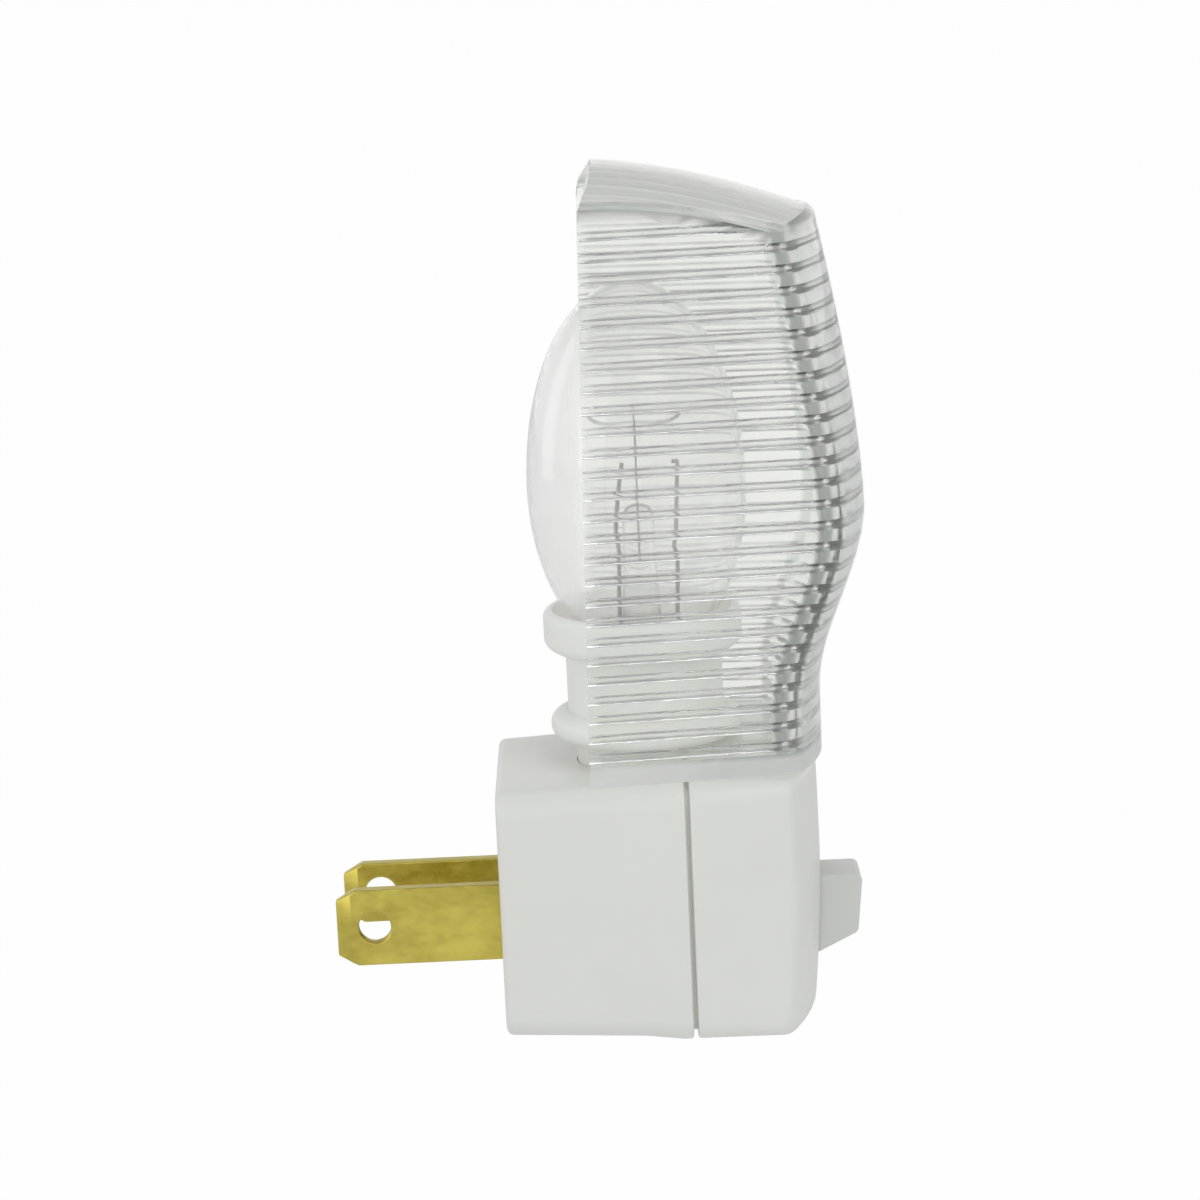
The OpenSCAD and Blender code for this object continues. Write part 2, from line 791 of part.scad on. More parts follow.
// A tube with the candelabra thread rolled into its outer wall, and its inner wall
// rolled with it or left plain
module rolled_tube(r_in, r_out, z0, z1, side, side_in) {
    n = ceil((z1 - z0) / thread_pitch * thread_steps);
    ring_skin([for (k = [0:thread_fn - 1]) let (a = 360 * k / thread_fn)
        concat(
            roll_points(a, r_out, z0, z1, n, side),
            backwards(roll_points(a, r_in, z0, z1, side_in == 0 ? 1 : n, side_in))
        )]);
}

module screw_shell() {
    band_r = shell_r + thread_e + shell_t + 0.05;
    color(brass) at(0, socket_depth, 0) {
        rolled_tube(shell_r, shell_r + shell_t, ledge_z + band_h - 0.2, shell_top, 1, 1);
        difference() {
            translate([0, 0, ledge_z]) cylinder(r = band_r, h = band_h);
            translate([0, 0, ledge_z - 1]) cylinder(r = tab_x, h = band_h + 2);
        }
        difference() {
            translate([-strap_x, -strap_w / 2, tab_bottom])
                cube([tab_t, strap_w, ledge_z - tab_bottom + band_h / 2]);
            translate([-strap_x - 1, 0, tab_rivet_z]) rotate([0, 90, 0])
                cylinder(r = rivet_hole_r, h = 2);
        }
    }
}

// Sprung leaf on the socket's floor that meets the lamp's tip
module center_contact() {
    z = socket_floor_z;
    crest = tip_bottom - contact_gap;
    back = socket_depth - leaf_back;
    bend = socket_depth + leaf_bend;
    color(brass) difference() {
        side_sheet([
            [back, z],
            [bend, z],
            [bend, crest - thin_t],
            [bend - thin_t, crest],
            [back, crest],
            [back, crest - thin_t],
            [bend - thin_t, crest - thin_t],
            [bend - thin_t, z + thin_t],
            [back, z + thin_t]
        ], -strap_w / 2, strap_w);
        at(0, socket_depth, z - eps) cylinder(r = rivet_hole_r, h = thin_t + 2 * eps);
    }
}

// Hollow rivet that joins the leaf, the socket's floor and the lamp strap
module center_rivet() {
    z0 = foot_z - thin_t;
    z1 = socket_floor_z + thin_t;
    color(steel) at(0, socket_depth, 0) {
        translate([0, 0, z0 - head_t]) cylinder(r = head_r, h = head_t);
        translate([0, 0, z0 - eps]) cylinder(r = rivet_r, h = z1 - z0 + 2 * eps);
        translate([0, 0, z1]) cylinder(r = head_r, h = head_t);
    }
}

// ---------- switch ----------

// Side view of the paddle: its drum, its flat top, its rounded nose and its lower flank
function lever_outline() =
    let (top = pivot_z + drum_r, nose = pivot_depth + lever_reach, low = top - tip_h, r = lever_corner_r)
    concat(
        arc(pivot_depth, pivot_z, drum_r, 90, 270 + lever_throw, 30),
        arc(nose - tip_rake - r * 0.8, low + r * 0.9, r * 0.8, -60, -4, 4),
        arc(nose - r, top - r, r, 4, 90, 5)
    );

module switch_lever() {
    color(white) difference() {
        union() {
            side_sheet(lever_outline(), -lever_w / 2, lever_w);
            block(-arm_half_w, arm_half_w, bridge_depth, pivot_depth - 2, arm_z, arm_z + arm_h);
        }
        bar_x(-lever_w, lever_w, pivot_depth, pivot_z, pin_r + fit_gap / 2);
        block(-lever_w, lever_w, bridge_depth - 1, bridge_depth + bridge_len + fit_gap, bridge_z - 1, arm_z);
    }
}

module switch_pin() {
    color(steel) bar_x(-pin_half, pin_half, pivot_depth, pivot_z, pin_r);
}

// Brass bar under the paddle's rear arm that joins the two pads when the paddle is up
module contact_bridge() {
    color(brass) block(-bridge_half_w, bridge_half_w, bridge_depth, bridge_depth + bridge_len,
        bridge_z, bridge_z + bridge_t);
}

// Steel leaf that rides on the drum and holds the paddle at either end of its swing
module detent_leaf() {
    color(steel) block(-leaf_half_w, leaf_half_w, pivot_depth - drum_r + 1.5, front_depth - wall - 0.4,
        slot_z1, slot_z1 + leaf_spring_t);
}

// ---------- lamp ----------

// Half outline of the glass from a height up to its tip, inset by t
function glass_line(t, z0, n) = let (a0 = -asin((glass_z - z0) / (glass_down - t)))
    [for (i = [0:n]) let (a = a0 + (90 - a0) * i / n)
        [max(0, (glass_r - t) * cos(a)), glass_z + ((a > 0 ? glass_up : glass_down) - t) * sin(a)]];

module bulb_glass() {
    n = 28;
    low = cap_top + eps;
    color([0.85, 0.88, 0.88, 0.35]) at(0, socket_depth, 0) rotate_extrude() polygon(concat(
        [
            [lamp_neck_r - glass_t, stem_foot],
            [lamp_neck_r, stem_foot],
            [lamp_neck_r, low]
        ],
        glass_line(0, low, n),
        backwards(glass_line(glass_t, low + glass_t, n)),
        [[lamp_neck_r - glass_t, low + glass_t]]
    ));
}

module bulb_shell() {
    color(brass) at(0, socket_depth, 0)
        rolled_tube(cap_inner_r, thread_r, cap_bottom, cap_top, -1, 0);
}

module bulb_insulator() {
    r = cap_inner_r - fit_gap;
    plug_h = 1.6;
    color([0.15, 0.15, 0.16]) at(0, socket_depth, tip_top) {
        cylinder(r1 = tip_r + 0.4, r2 = r, h = insulator_h);
        translate([0, 0, insulator_h - eps]) cylinder(r = r, h = plug_h);
    }
}

module bulb_tip() {
    color(steel) at(0, socket_depth, 0) rotate_extrude() polygon(concat(
        [[0, tip_top], [0, tip_bottom]],
        [for (a = [15:15:90]) [tip_r * sin(a), tip_bottom + 1 - cos(a)]],
        [[tip_r, tip_top]]
    ));
}

// Glass flare and tube that carry the wires
module bulb_stem() {
    r = lamp_neck_r - glass_t - 0.05;
    hole_r = wire_r + 0.05;
    color([0.8, 0.84, 0.84, 0.5]) at(0, socket_depth, 0) difference() {
        rotate_extrude() polygon([
            [0, stem_foot],
            [r, stem_foot],
            [r, stem_foot + 1.2],
            [2.2, stem_foot + 7],
            [1.7, stem_top - 5],
            [1.5, stem_top],
            [0, stem_top]
        ]);
        for (s = [-1, 1]) {
            translate([0, s * lead_x, stem_foot - 1]) cylinder(r = hole_r, h = lead_top, $fn = wire_fn);
        }
        translate([0, 0, stem_top - wire_root]) cylinder(r = hole_r, h = 2 * wire_root, $fn = wire_fn);
    }
}

// The two wires that stand on either side of the stem, hooked at the top
module bulb_leads() {
    hook = 2.2;
    color(steel) at(0, socket_depth, 0) for (s = [-1, 1]) {
        translate([0, s * lead_x, stem_foot])
            cylinder(r = wire_r, h = lead_top - stem_foot, $fn = wire_fn);
        translate([0, s * lead_x, lead_top]) rotate([s * -45, 0, 0])
            cylinder(r = wire_r, h = hook, $fn = wire_fn);
    }
}

// Middle wire with the arms that hold the filament off the glass
module bulb_supports() {
    fork_z = stem_top + fork_rise;
    reach = filament_r - wire_r;
    rise = filament_z - fork_z;
    color(steel) at(0, socket_depth, 0) {
        translate([0, 0, stem_top - wire_root])
            cylinder(r = wire_r, h = fork_rise + wire_root, $fn = wire_fn);
        for (a = [0, 180]) {
            rotate([0, 0, a]) translate([0, 0, fork_z - wire_r]) rotate([0, atan(reach / rise), 0])
                cylinder(r = wire_r * 0.7, h = norm([reach, rise]) - wire_r, $fn = wire_fn);
        }
    }
}

// Coiled filament, drawn as its envelope: a ring broken at the back
module bulb_filament() {
    color([0.45, 0.45, 0.47]) at(0, socket_depth, filament_z) for (a = [-80, 100])
        rotate([0, 0, a]) rotate_extrude(angle = 160) translate([filament_r, 0])
            circle(r = filament_wire_r, $fn = wire_fn);
}

// ---------- shade ----------

// Depth of the front corners at a height: a foot, a swelling and a lean back to the top
function corner_depth(z) = z < bulge_z
    ? shade_foot + (shade_bulge - shade_foot) * smooth((z - swell_z) / (bulge_z - swell_z))
    : shade_bulge - top_lean * pow((z - bulge_z) / (corner_top - bulge_z), 1.5);

function back_depth(z) = shade_back + back_lean * (z - shade_bottom) / (crest_back - shade_bottom);

// Half width of the side walls at a depth: they taper towards the front
function half_at(d, z) = let (t = (d - back_depth(z)) / (corner_depth(z) - back_depth(z)))
    shade_half_back + (shade_half_front - shade_half_back) * t;

// Quarter of a turn between two points, steered by the corner between them
function turn(p, c, q, n) = [for (i = [0:n]) let (t = i / n)
    (1 - t) * (1 - t) * p + 2 * t * (1 - t) * c + t * t * q];

// One half of a level section, from the back to the middle of the front
function half_section(z, inset, past) = let (
    dc = corner_depth(z) - inset,
    db = back_depth(z) - past,
    hc = half_at(dc, z) - inset,
    r = shade_corner_r,
    bowed = [for (i = [0:front_cols / 2]) let (x = (hc - r) * (1 - 2 * i / front_cols))
        [x, dc + shade_bow * (1 - pow(x / hc, 2))]])
    concat(
        [[half_at(db, z) - inset, db]],
        turn([half_at(dc - r, z) - inset, dc - r], [hc, dc], bowed[0], 3),
        [for (i = [1:front_cols / 2]) bowed[i]]
    );

// The whole level section, counter-clockwise seen from above
function level_section(z, inset, past) = let (
    right = half_section(z, inset, past),
    n = len(right))
    concat(
        [for (i = [0:n - 1]) [-right[i][0], -right[i][1], z]],
        [for (i = [n - 2:-1:0]) [right[i][0], -right[i][1], z]]
    );

// Height of the top surface over a point, and its ribs when seen from inside
function top_height(x, d, inset) = crest_back - inset
    - crest_drop * pow(max(0, (d - shade_back - back_lean) / (crest_front - shade_back)), 1.7)
    - arch_rise * pow(x / shade_half_back, 2);

// A block below the arched top, cut into strips across its width
module top_block(inset, ribbed, d0, d1) {
    half = shade_half_back + 2;
    n = ribbed ? 2 * floor(half / rib_pitch) : 12;
    xs = ribbed
        ? [for (k = [0:n - 1], s = rib_stations) [-n / 2 * rib_pitch + k * rib_pitch + s[0], s[1] * rib_h]]
        : [for (k = [0:n]) [-half + 2 * half * k / n, 0]];
    steps = 8;
    skin([for (i = [0:steps]) let (d = d0 + (d1 - d0) * i / steps)
        concat(
            [for (x = backwards(xs)) [x[0], -d, top_height(x[0], d, inset + x[1])]],
            [[xs[0][0], -d, shade_bottom - 2], [xs[len(xs) - 1][0], -d, shade_bottom - 2]]
        )]);
}

module shade_outside() {
    rows = 24;
    top = crest_back + 2;
    intersection() {
        skin([for (i = [0:rows]) level_section(shade_bottom + (top - shade_bottom) * i / rows, 0, 0)]);
        top_block(0, false, shade_back - 4, shade_bulge + shade_bow + 4);
    }
}

module shade_inside() {
    intersection() {
        skin([for (s = rib_levels) level_section(s[0], shade_wall + s[1], 3)]);
        top_block(top_wall, true, shade_back - 5, shade_bulge + shade_bow + 2);
    }
}

// The keyhole in the floor that slides round the socket's throat
module throat_slot() {
    r = throat_r + slide_gap;
    at(0, socket_depth, shade_bottom - 1) cylinder(r = r, h = floor_t + 2);
    block(-r, r, shade_back - 2, socket_depth, shade_bottom - 1, cavity_z + 1);
}

module shade() {
    color([0.80, 0.84, 0.83, 0.45]) difference() {
        shade_outside();
        shade_inside();
        throat_slot();
    }
}

// ---------- assembly ----------

rear_housing();
front_cover();
blade_retainer();
neutral_blade();
hot_blade();
neutral_strap();
hot_strap();
lamp_strap();
strap_rivets();
socket_body();
screw_shell();
center_contact();
center_rivet();
switch_lever();
switch_pin();
contact_bridge();
detent_leaf();
shade();
bulb_glass();
bulb_shell();
bulb_insulator();
bulb_tip();
bulb_stem();
bulb_leads();
bulb_supports();
bulb_filament();
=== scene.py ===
"""Looks of the plug-in night light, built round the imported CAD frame.

Lengths are written in millimetres and scaled to metres by MM. x is the width, depth is the
distance from the wall face towards the front (row frame -Y), z is up.
"""
import json
import math

import bmesh
import bpy
from mathutils import Matrix, Vector

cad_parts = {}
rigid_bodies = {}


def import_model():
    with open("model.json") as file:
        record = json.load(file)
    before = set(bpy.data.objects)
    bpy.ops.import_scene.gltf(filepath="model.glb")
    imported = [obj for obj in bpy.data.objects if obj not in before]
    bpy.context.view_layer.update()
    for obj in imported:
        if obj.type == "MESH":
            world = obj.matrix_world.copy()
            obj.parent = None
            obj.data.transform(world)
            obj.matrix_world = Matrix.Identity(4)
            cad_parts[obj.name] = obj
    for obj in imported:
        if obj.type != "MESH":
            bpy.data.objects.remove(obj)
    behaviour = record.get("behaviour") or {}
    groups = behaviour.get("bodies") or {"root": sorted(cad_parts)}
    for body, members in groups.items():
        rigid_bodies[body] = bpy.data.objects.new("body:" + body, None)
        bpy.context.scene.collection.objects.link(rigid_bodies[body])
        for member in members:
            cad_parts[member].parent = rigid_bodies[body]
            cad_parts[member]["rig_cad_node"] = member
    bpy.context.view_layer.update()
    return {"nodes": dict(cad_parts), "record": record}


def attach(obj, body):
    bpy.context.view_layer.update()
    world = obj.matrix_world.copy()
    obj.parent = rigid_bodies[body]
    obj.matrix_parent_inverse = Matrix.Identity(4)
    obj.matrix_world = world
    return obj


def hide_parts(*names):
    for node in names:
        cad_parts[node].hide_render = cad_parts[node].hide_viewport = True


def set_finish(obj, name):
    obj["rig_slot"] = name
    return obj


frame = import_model()

MM = 0.001

# Edges that turn by more than these angles, in degrees, stay sharp
SHARP_CAD, SHARP_WHITE, SHARP_CLEAR, SHARP_ROUND = 35.0, 32.0, 40.0, 50.0
BEVEL_ANGLE, SAME_PLANE_ANGLE, FLAT_ANGLE = 28.0, 1.5, 0.3
# Distances in metres below which two points count as one, or an edge as none
SAME_POINT, SAME_CAD_POINT, NO_EDGE, NO_LENGTH = 2e-6, 1e-6, 1e-7, 1e-8


# ---------------------------------------------------------------- mesh helpers

def row(x, depth, z):
    """A point given as width, distance from the wall and height, in the row frame."""
    return Vector((x * MM, -depth * MM, z * MM))


def new_mesh(name, bm):
    """A mesh made from a bmesh, which it frees."""
    mesh = bpy.data.meshes.new(name)
    bm.to_mesh(mesh)
    bm.free()
    return mesh


def new_object(name, data):
    """A new object in the scene."""
    made = bpy.data.objects.new(name, data)
    bpy.context.scene.collection.objects.link(made)
    return made


def add_object(name, bm, body, slot, smooth_angle):
    """Turns a bmesh into a piece that rides on a body."""
    bmesh.ops.remove_doubles(bm, verts=bm.verts, dist=SAME_POINT)
    bmesh.ops.dissolve_degenerate(bm, dist=NO_EDGE, edges=bm.edges)
    bmesh.ops.recalc_face_normals(bm, faces=bm.faces)
    piece = new_object(name, new_mesh(name, bm))
    shade_by_angle(piece, smooth_angle)
    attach(piece, body)
    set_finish(piece, slot)
    return piece


def shade_by_angle(piece, degrees):
    """Smooth shading, with the edges above an angle kept sharp."""
    bm = bmesh.new()
    bm.from_mesh(piece.data)
    limit = math.radians(degrees)
    for face in bm.faces:
        face.smooth = True
    for edge in bm.edges:
        edge.smooth = len(edge.link_faces) == 2 and edge.calc_face_angle(0.0) < limit
    bm.to_mesh(piece.data)
    bm.free()


def grid(bm, rows, closed=False):
    """Quads between rows of points with equal counts. Closed rows wrap round."""
    made = [[bm.verts.new(p) for p in line] for line in rows]
    count = len(made[0])
    last = count if closed else count - 1
    for a, b in zip(made, made[1:]):
        for i in range(last):
            j = (i + 1) % count
            bm.faces.new((a[i], a[j], b[j], b[i]))
    return made


def revolve(bm, profile, depth, segments, closed=False):
    """Spins radius and height points round a vertical axis at a depth."""
    lines = []
    points = profile + profile[:1] if closed else profile
    for r, z in points:
        lines.append([
            row(r * math.sin(2 * math.pi * k / segments),
                depth + r * math.cos(2 * math.pi * k / segments), z)
            for k in range(segments)
        ])
    grid(bm, lines, closed=True)


def arc(cx, cy, r, a0, a1, n):
    """Points of an arc in n steps, angles in degrees."""
    out = []
    for i in range(n + 1):
        a = math.radians(a0 + (a1 - a0) * i / n)
        out.append((cx + r * math.cos(a), cy + r * math.sin(a)))
    return out


def box_mesh(bm, x0, x1, d0, d1, z0, z1):
    """A closed block, used as a cutter."""
    corners = [row(x, d, z) for z in (z0, z1) for d in (d0, d1) for x in (x0, x1)]
    v = [bm.verts.new(c) for c in corners]
    for f in ((0, 1, 3, 2), (4, 6, 7, 5), (0, 4, 5, 1), (1, 5, 7, 3), (3, 7, 6, 2), (2, 6, 4, 0)):
        bm.faces.new([v[i] for i in f])


def cut(piece, build, operation="DIFFERENCE"):
    """Subtracts what build(bm) makes from a piece, or adds it, and applies the result."""
    bm = bmesh.new()
    build(bm)
    bmesh.ops.recalc_face_normals(bm, faces=bm.faces)
    mesh = new_mesh("cutter", bm)
    cutter = new_object("cutter", mesh)
    mod = piece.modifiers.new("cut", "BOOLEAN")
    mod.operation = operation
    mod.solver = "EXACT"
    mod.object = cutter
    apply_modifiers(piece)
    bpy.data.objects.remove(cutter)
    bpy.data.meshes.remove(mesh)


def apply_modifiers(piece):
    """Replaces a piece's mesh by its evaluated mesh and drops the modifiers."""
    graph = bpy.context.evaluated_depsgraph_get()
    graph.update()
    new = bpy.data.meshes.new_from_object(piece.evaluated_get(graph))
    old = piece.data
    piece.modifiers.clear()
    piece.data = new
    bpy.data.meshes.remove(old)


def bevel(piece, width, segments):
    """Rounds a piece's sharp edges for good."""
    mod = piece.modifiers.new("round", "BEVEL")
    mod.width = width * MM
    mod.segments = segments
    mod.limit_method = "ANGLE"
    mod.angle_limit = math.radians(BEVEL_ANGLE)
    mod.miter_outer = "MITER_ARC"
    mod.use_clamp_overlap = True
    mod.harden_normals = False
    apply_modifiers(piece)


def flatten(piece):
    """Flat shading for faces that lie in one plane with a neighbour."""
    bm = bmesh.new()
    bm.from_mesh(piece.data)
    for edge in bm.edges:
        if len(edge.link_faces) == 2 and edge.calc_face_angle(1.0) < math.radians(FLAT_ANGLE):
            for face in edge.link_faces:
                face.smooth = False
    bm.to_mesh(piece.data)
    bm.free()


def softened(node, body, slot, width, segments, splits):
    """A copy of a CAD node with rounded edges, which replaces the node.

    Splits are depths of holes: a cut there keeps each flat face free of holes.
    """
    bm = bmesh.new()
    bm.from_mesh(frame["nodes"][node].data)
    bmesh.ops.remove_doubles(bm, verts=bm.verts, dist=SAME_CAD_POINT)
    for depth in splits:
        made = bmesh.ops.bisect_plane(
            bm, geom=bm.verts[:] + bm.edges[:] + bm.faces[:], plane_co=row(0, depth, 0),
            plane_no=(0, 1, 0))["geom_cut"]
        for item in made:
            if isinstance(item, bmesh.types.BMEdge):
                item.seam = True
    bmesh.ops.dissolve_limit(bm, angle_limit=math.radians(SAME_PLANE_ANGLE), verts=bm.verts,
                             edges=bm.edges, delimit={"SEAM"})
    piece = add_object("soft_" + node, bm, body, slot, SHARP_CAD)
    bevel(piece, width, segments)
    shade_by_angle(piece, SHARP_CAD)
    flatten(piece)
    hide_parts(node)


# ---------------------------------------------------------------- shared sizes

LAMP_DEPTH = 15.6
THROAT_R, THROAT_TOP = 7.3, 17.0
# Blades: middle and width of each, half thickness and end gap of their slots, depths of
# their holes, rounding of their edges
BLADES = ((-6.35, 7.94), (6.35, 6.35))
SLOT_HALF, SLOT_GAP = 0.85, 0.1
HOLES = (-13.05, 9.3)
BLADE_EDGE = 0.16


def smooth_step(t):
    """Eases from 0 to 1 as t goes from 0 to 1."""
    t = max(0.0, min(1.0, t))
    return t * t * (3 - 2 * t)


# ---------------------------------------------------------------- shade

S = dict(bottom=15.6, floor_t=1.95, wall=1.2, half_back=14.8, half_front=12.6, back=9.6,
         lean=1.3, foot=30.4, bulge=35.5, swell_z=22.0, bulge_z=41.0, top_lean=3.6, bow=3.08,
         crest=76.26, drop=6.5, arch=3.2, corner_rise=1.2, top_wall=1.0, corner_r=1.3,
         edge_r=1.1, pitch=2.08, rib_w=0.92, rib_h=0.4, keyhole_r=7.5, keyhole_back=5)
# Powers of the curves: the front's lean above the bulge, the top's fall and a rib's back
LEAN_POWER, FALL_POWER, RIB_POWER = 1.5, 1.7, 0.6
CAVITY_Z = S["bottom"] + S["floor_t"]
CORNER_TOP = S["crest"] - S["drop"] - S["arch"] + S["corner_rise"]
CREST_FRONT = S["bulge"] - S["top_lean"] + S["bow"]


def corner_depth(z):
    """Depth of the shade's front corners at a height."""
    if z < S["bulge_z"]:
        rise = smooth_step((z - S["swell_z"]) / (S["bulge_z"] - S["swell_z"]))
        return S["foot"] + (S["bulge"] - S["foot"]) * rise
    t = (z - S["bulge_z"]) / (CORNER_TOP - S["bulge_z"])
    return S["bulge"] - S["top_lean"] * t ** LEAN_POWER


def back_depth(z):
    """Depth of the edges round the shade's open back."""
    return S["back"] + S["lean"] * (z - S["bottom"]) / (S["crest"] - S["bottom"])


def half_at(d, z):
    """Half the shade's width at a depth and height."""
    t = (d - back_depth(z)) / (corner_depth(z) - back_depth(z))
    return S["half_back"] + (S["half_front"] - S["half_back"]) * t


# How finely the shade's skins are divided
SIDE_COLS, CORNER_COLS, FRONT_COLS = 14, 6, 9
TOP_CELLS, FLOOR_CELLS, OUTER_ROWS, EDGE_ROWS, SOLVE_STEPS = 40, 8, 70, 5, 30


def half_section(z, inset):
    """Left half of a level section, from the open back to the middle of the front."""
    r = S["corner_r"]
    dc = corner_depth(z) - inset
    db = back_depth(z)
    hc = half_at(dc, z) - inset
    bowed = []
    for i in range(FRONT_COLS + 1):
        x = (hc - r) * (1 - i / FRONT_COLS)
        bowed.append((x, dc + S["bow"] * (1 - (x / hc) ** 2)))
    start = (half_at(dc - r, z) - inset, dc - r)
    line = []
    for i in range(SIDE_COLS):
        d = db + (start[1] - db) * i / SIDE_COLS
        line.append((half_at(d, z) - inset, d))
    for i in range(CORNER_COLS):
        t = i / CORNER_COLS
        p, c, q = start, (hc, dc), bowed[0]
        line.append(tuple((1 - t) ** 2 * p[k] + 2 * t * (1 - t) * c[k] + t * t * q[k]
                          for k in (0, 1)))
    return line + bowed


def top_height(x, d, inset):
    """Height of the arched, falling top, or of its underside with an inset."""
    fall = max(0.0, (d - S["back"] - S["lean"]) / (CREST_FRONT - S["back"])) ** FALL_POWER
    return S["crest"] - inset - S["drop"] * fall - S["arch"] * (x / S["half_back"]) ** 2


# Heights of the ribs' crests on the walls, which are wider apart above RIB_Z, and the places
# of those under the top
RIB_Z, PITCH_ABOVE, PITCH_BELOW = 34.1, 2.118, 1.97
WALL_RIBS = [RIB_Z + (PITCH_ABOVE if k > 0 else PITCH_BELOW) * k for k in range(-8, 18)]
TOP_RIBS = [S["pitch"] * (k + 0.5) for k in range(-7, 7)]


def ridge(u, ribs):
    """Rib profile: 0 on the wall, 1 on a crest, with steep flanks and a round back."""
    t = min(abs(u - c) for c in ribs) / (S["rib_w"] / 2)
    return math.cos(math.pi / 2 * t) ** RIB_POWER if t < 1.0 else 0.0


# Stations of one rib and of the gap after it, from its crest
RIB_STEPS = (-0.54, -0.46, -0.40, -0.28, -0.16, 0.0, 0.16, 0.28, 0.40, 0.46, 0.54, 1.02)
# How near to a limit, to the top and to a side wall a station may come
LIMIT_GAP, TOP_GAP, SIDE_GAP = 0.02, 0.25, 0.15


def rib_stations(lo, hi, ribs):
    """Stations between two limits that follow the ribs."""
    return [c + s for c in ribs for s in RIB_STEPS if lo + LIMIT_GAP < c + s < hi - LIMIT_GAP]


def column_top(index, inset, top_inset):
    """Height, x and depth at which one column of the wall meets the top."""
    z = S["crest"] - S["arch"]
    for _ in range(SOLVE_STEPS):
        x, d = half_section(z, inset)[index]
        z = top_height(x, d, top_inset)
    return z, x, d


def shade_layer(bm, inner):
    """One skin of the shade. Returns the four lines round its open back."""
    wall = S["wall"] if inner else 0.0
    top_in = S["top_wall"] if inner else 0.0
    count = SIDE_COLS + CORNER_COLS + FRONT_COLS + 1
    z0 = CAVITY_Z if inner else S["bottom"]
    levels = [z0] + rib_stations(z0, S["crest"], WALL_RIBS) if inner else [
        z0 + (S["crest"] - z0) * i / OUTER_ROWS for i in range(OUTER_ROWS + 1)]
    left = []
    for c in range(count):
        if inner:
            zt, xt, dt = column_top(c, wall, top_in)
            line = []
            for z in levels:
                if z < zt - TOP_GAP:
                    off = S["rib_h"] * ridge(z, WALL_RIBS)
                    x, d = half_section(z, wall + off)[c]
                    line.append((x, d, z))
            line += [(xt, dt, zt)] * (len(levels) + 1 - len(line))
        else:
            edge_r = S["edge_r"]
            zt, xt, dt = column_top(c, edge_r, 0.0)
            zw = zt - edge_r
            line = []
            for z in levels[:-1]:
                zz = z0 + (zw - z0) * (z - z0) / (levels[-2] - z0)
                x, d = half_section(zz, 0.0)[c]
                line.append((x, d, zz))
            for k in range(1, EDGE_ROWS + 1):
                a = math.radians(90 * k / EDGE_ROWS)
                x, d = half_section(zw, edge_r * (1 - math.cos(a)))[c]
                line.append((x, d, zw + edge_r * math.sin(a)))
            line[-1] = (xt, dt, zt)
        left.append(line)
    columns = [[row(-x, d, z) for x, d, z in line] for line in left]
    columns += [[row(x, d, z) for x, d, z in line] for line in reversed(left[:-1])]
    walls = grid(bm, columns)
    # The top, in strips from side to side
    tops = []
    ribs = rib_stations(-S["half_back"], S["half_back"], TOP_RIBS)
    for line in left:
        x, d, z = line[-1]
        if inner:
            across = [row(s, d, top_height(s, d, top_in + S["rib_h"] * ridge(s, TOP_RIBS)))
                      if abs(s) < x - SIDE_GAP else row(math.copysign(x, s), d, z)
                      for s in ribs]
        else:
            steps = [x * (2 * i / TOP_CELLS - 1) for i in range(1, TOP_CELLS)]
            across = [row(s, d, top_height(s, d, 0.0)) for s in steps]
        tops.append([row(-x, d, z)] + across + [row(x, d, z)])
    roof = grid(bm, tops)
    # The floor or underside, in strips from side to side
    floor = []
    for line in left:
        x, d, z = line[0]
        floor.append([row(-x + 2 * x * i / FLOOR_CELLS, d, z) for i in range(FLOOR_CELLS + 1)])
    base = grid(bm, floor)
    return walls[0], roof[0], walls[-1], base[0]


def stitch(bm, a, b):
    """Closes the gap between two lines of points with triangles, by their share of length."""
    def shares(line):
        total = [0.0]
        for p, q in zip(line, line[1:]):
            total.append(total[-1] + (q.co - p.co).length)
        return [t / total[-1] for t in total]

    sa, sb = shares(a), shares(b)
    i = j = 0
    while i < len(a) - 1 or j < len(b) - 1:
        if j == len(b) - 1 or (i < len(a) - 1 and sa[i + 1] <= sb[j + 1]):
            if (a[i].co - a[i + 1].co).length > NO_LENGTH:
                bm.faces.new((a[i], a[i + 1], b[j]))
            i += 1
        else:
            if (b[j].co - b[j + 1].co).length > NO_LENGTH:
                bm.faces.new((a[i], b[j + 1], b[j]))
            j += 1


# The lean of the top's back edge: how far it goes, over which depth, and where it starts
LEAN_BY, LEAN_REACH, LEAN_Z, LEAN_RISE = 1.5, 8, 71.9, 4.4


def lean_top(bm):
    """Draws the back edge of the arched top forward towards its crest."""
    for v in bm.verts:
        d, z = -v.co.y / MM, v.co.z / MM
        near = max(0.0, 1 - (d - back_depth(z)) / LEAN_REACH)
        v.co.y -= LEAN_BY * smooth_step((z - LEAN_Z) / LEAN_RISE) * near ** 2 * MM


def skin_gaps(x, d, z):
    """Distances from a point to the outside of the shade's side, front and top."""
    side = half_at(d, z) - abs(x)
    front = corner_depth(z) + S["bow"] * (1 - (x / S["half_front"]) ** 2) - d
    return side, front, top_height(x, d, 0.0) - z


def on_inner_skin(side, front, under):
    """Whether the skin gaps are those of a point inside the shade."""
    return min(side, front) > S["wall"] - 0.15 and under > S["top_wall"] - 0.1


# How milky the shade's parts are, most of it painted light, and how dark its painted rib shadows
# are, from 0 to 1
# front, top and foot: painted milkiness for light scattered in the ribs; corner: painted
# grey-green shade of the thick corners
HAZE = dict(foot=0.55, side=0.04, front=0.32, top=0.6, corner=0.85)
FLANK = dict(foot=0.17, below=0.55, below_crest=0.3, above=0.42)
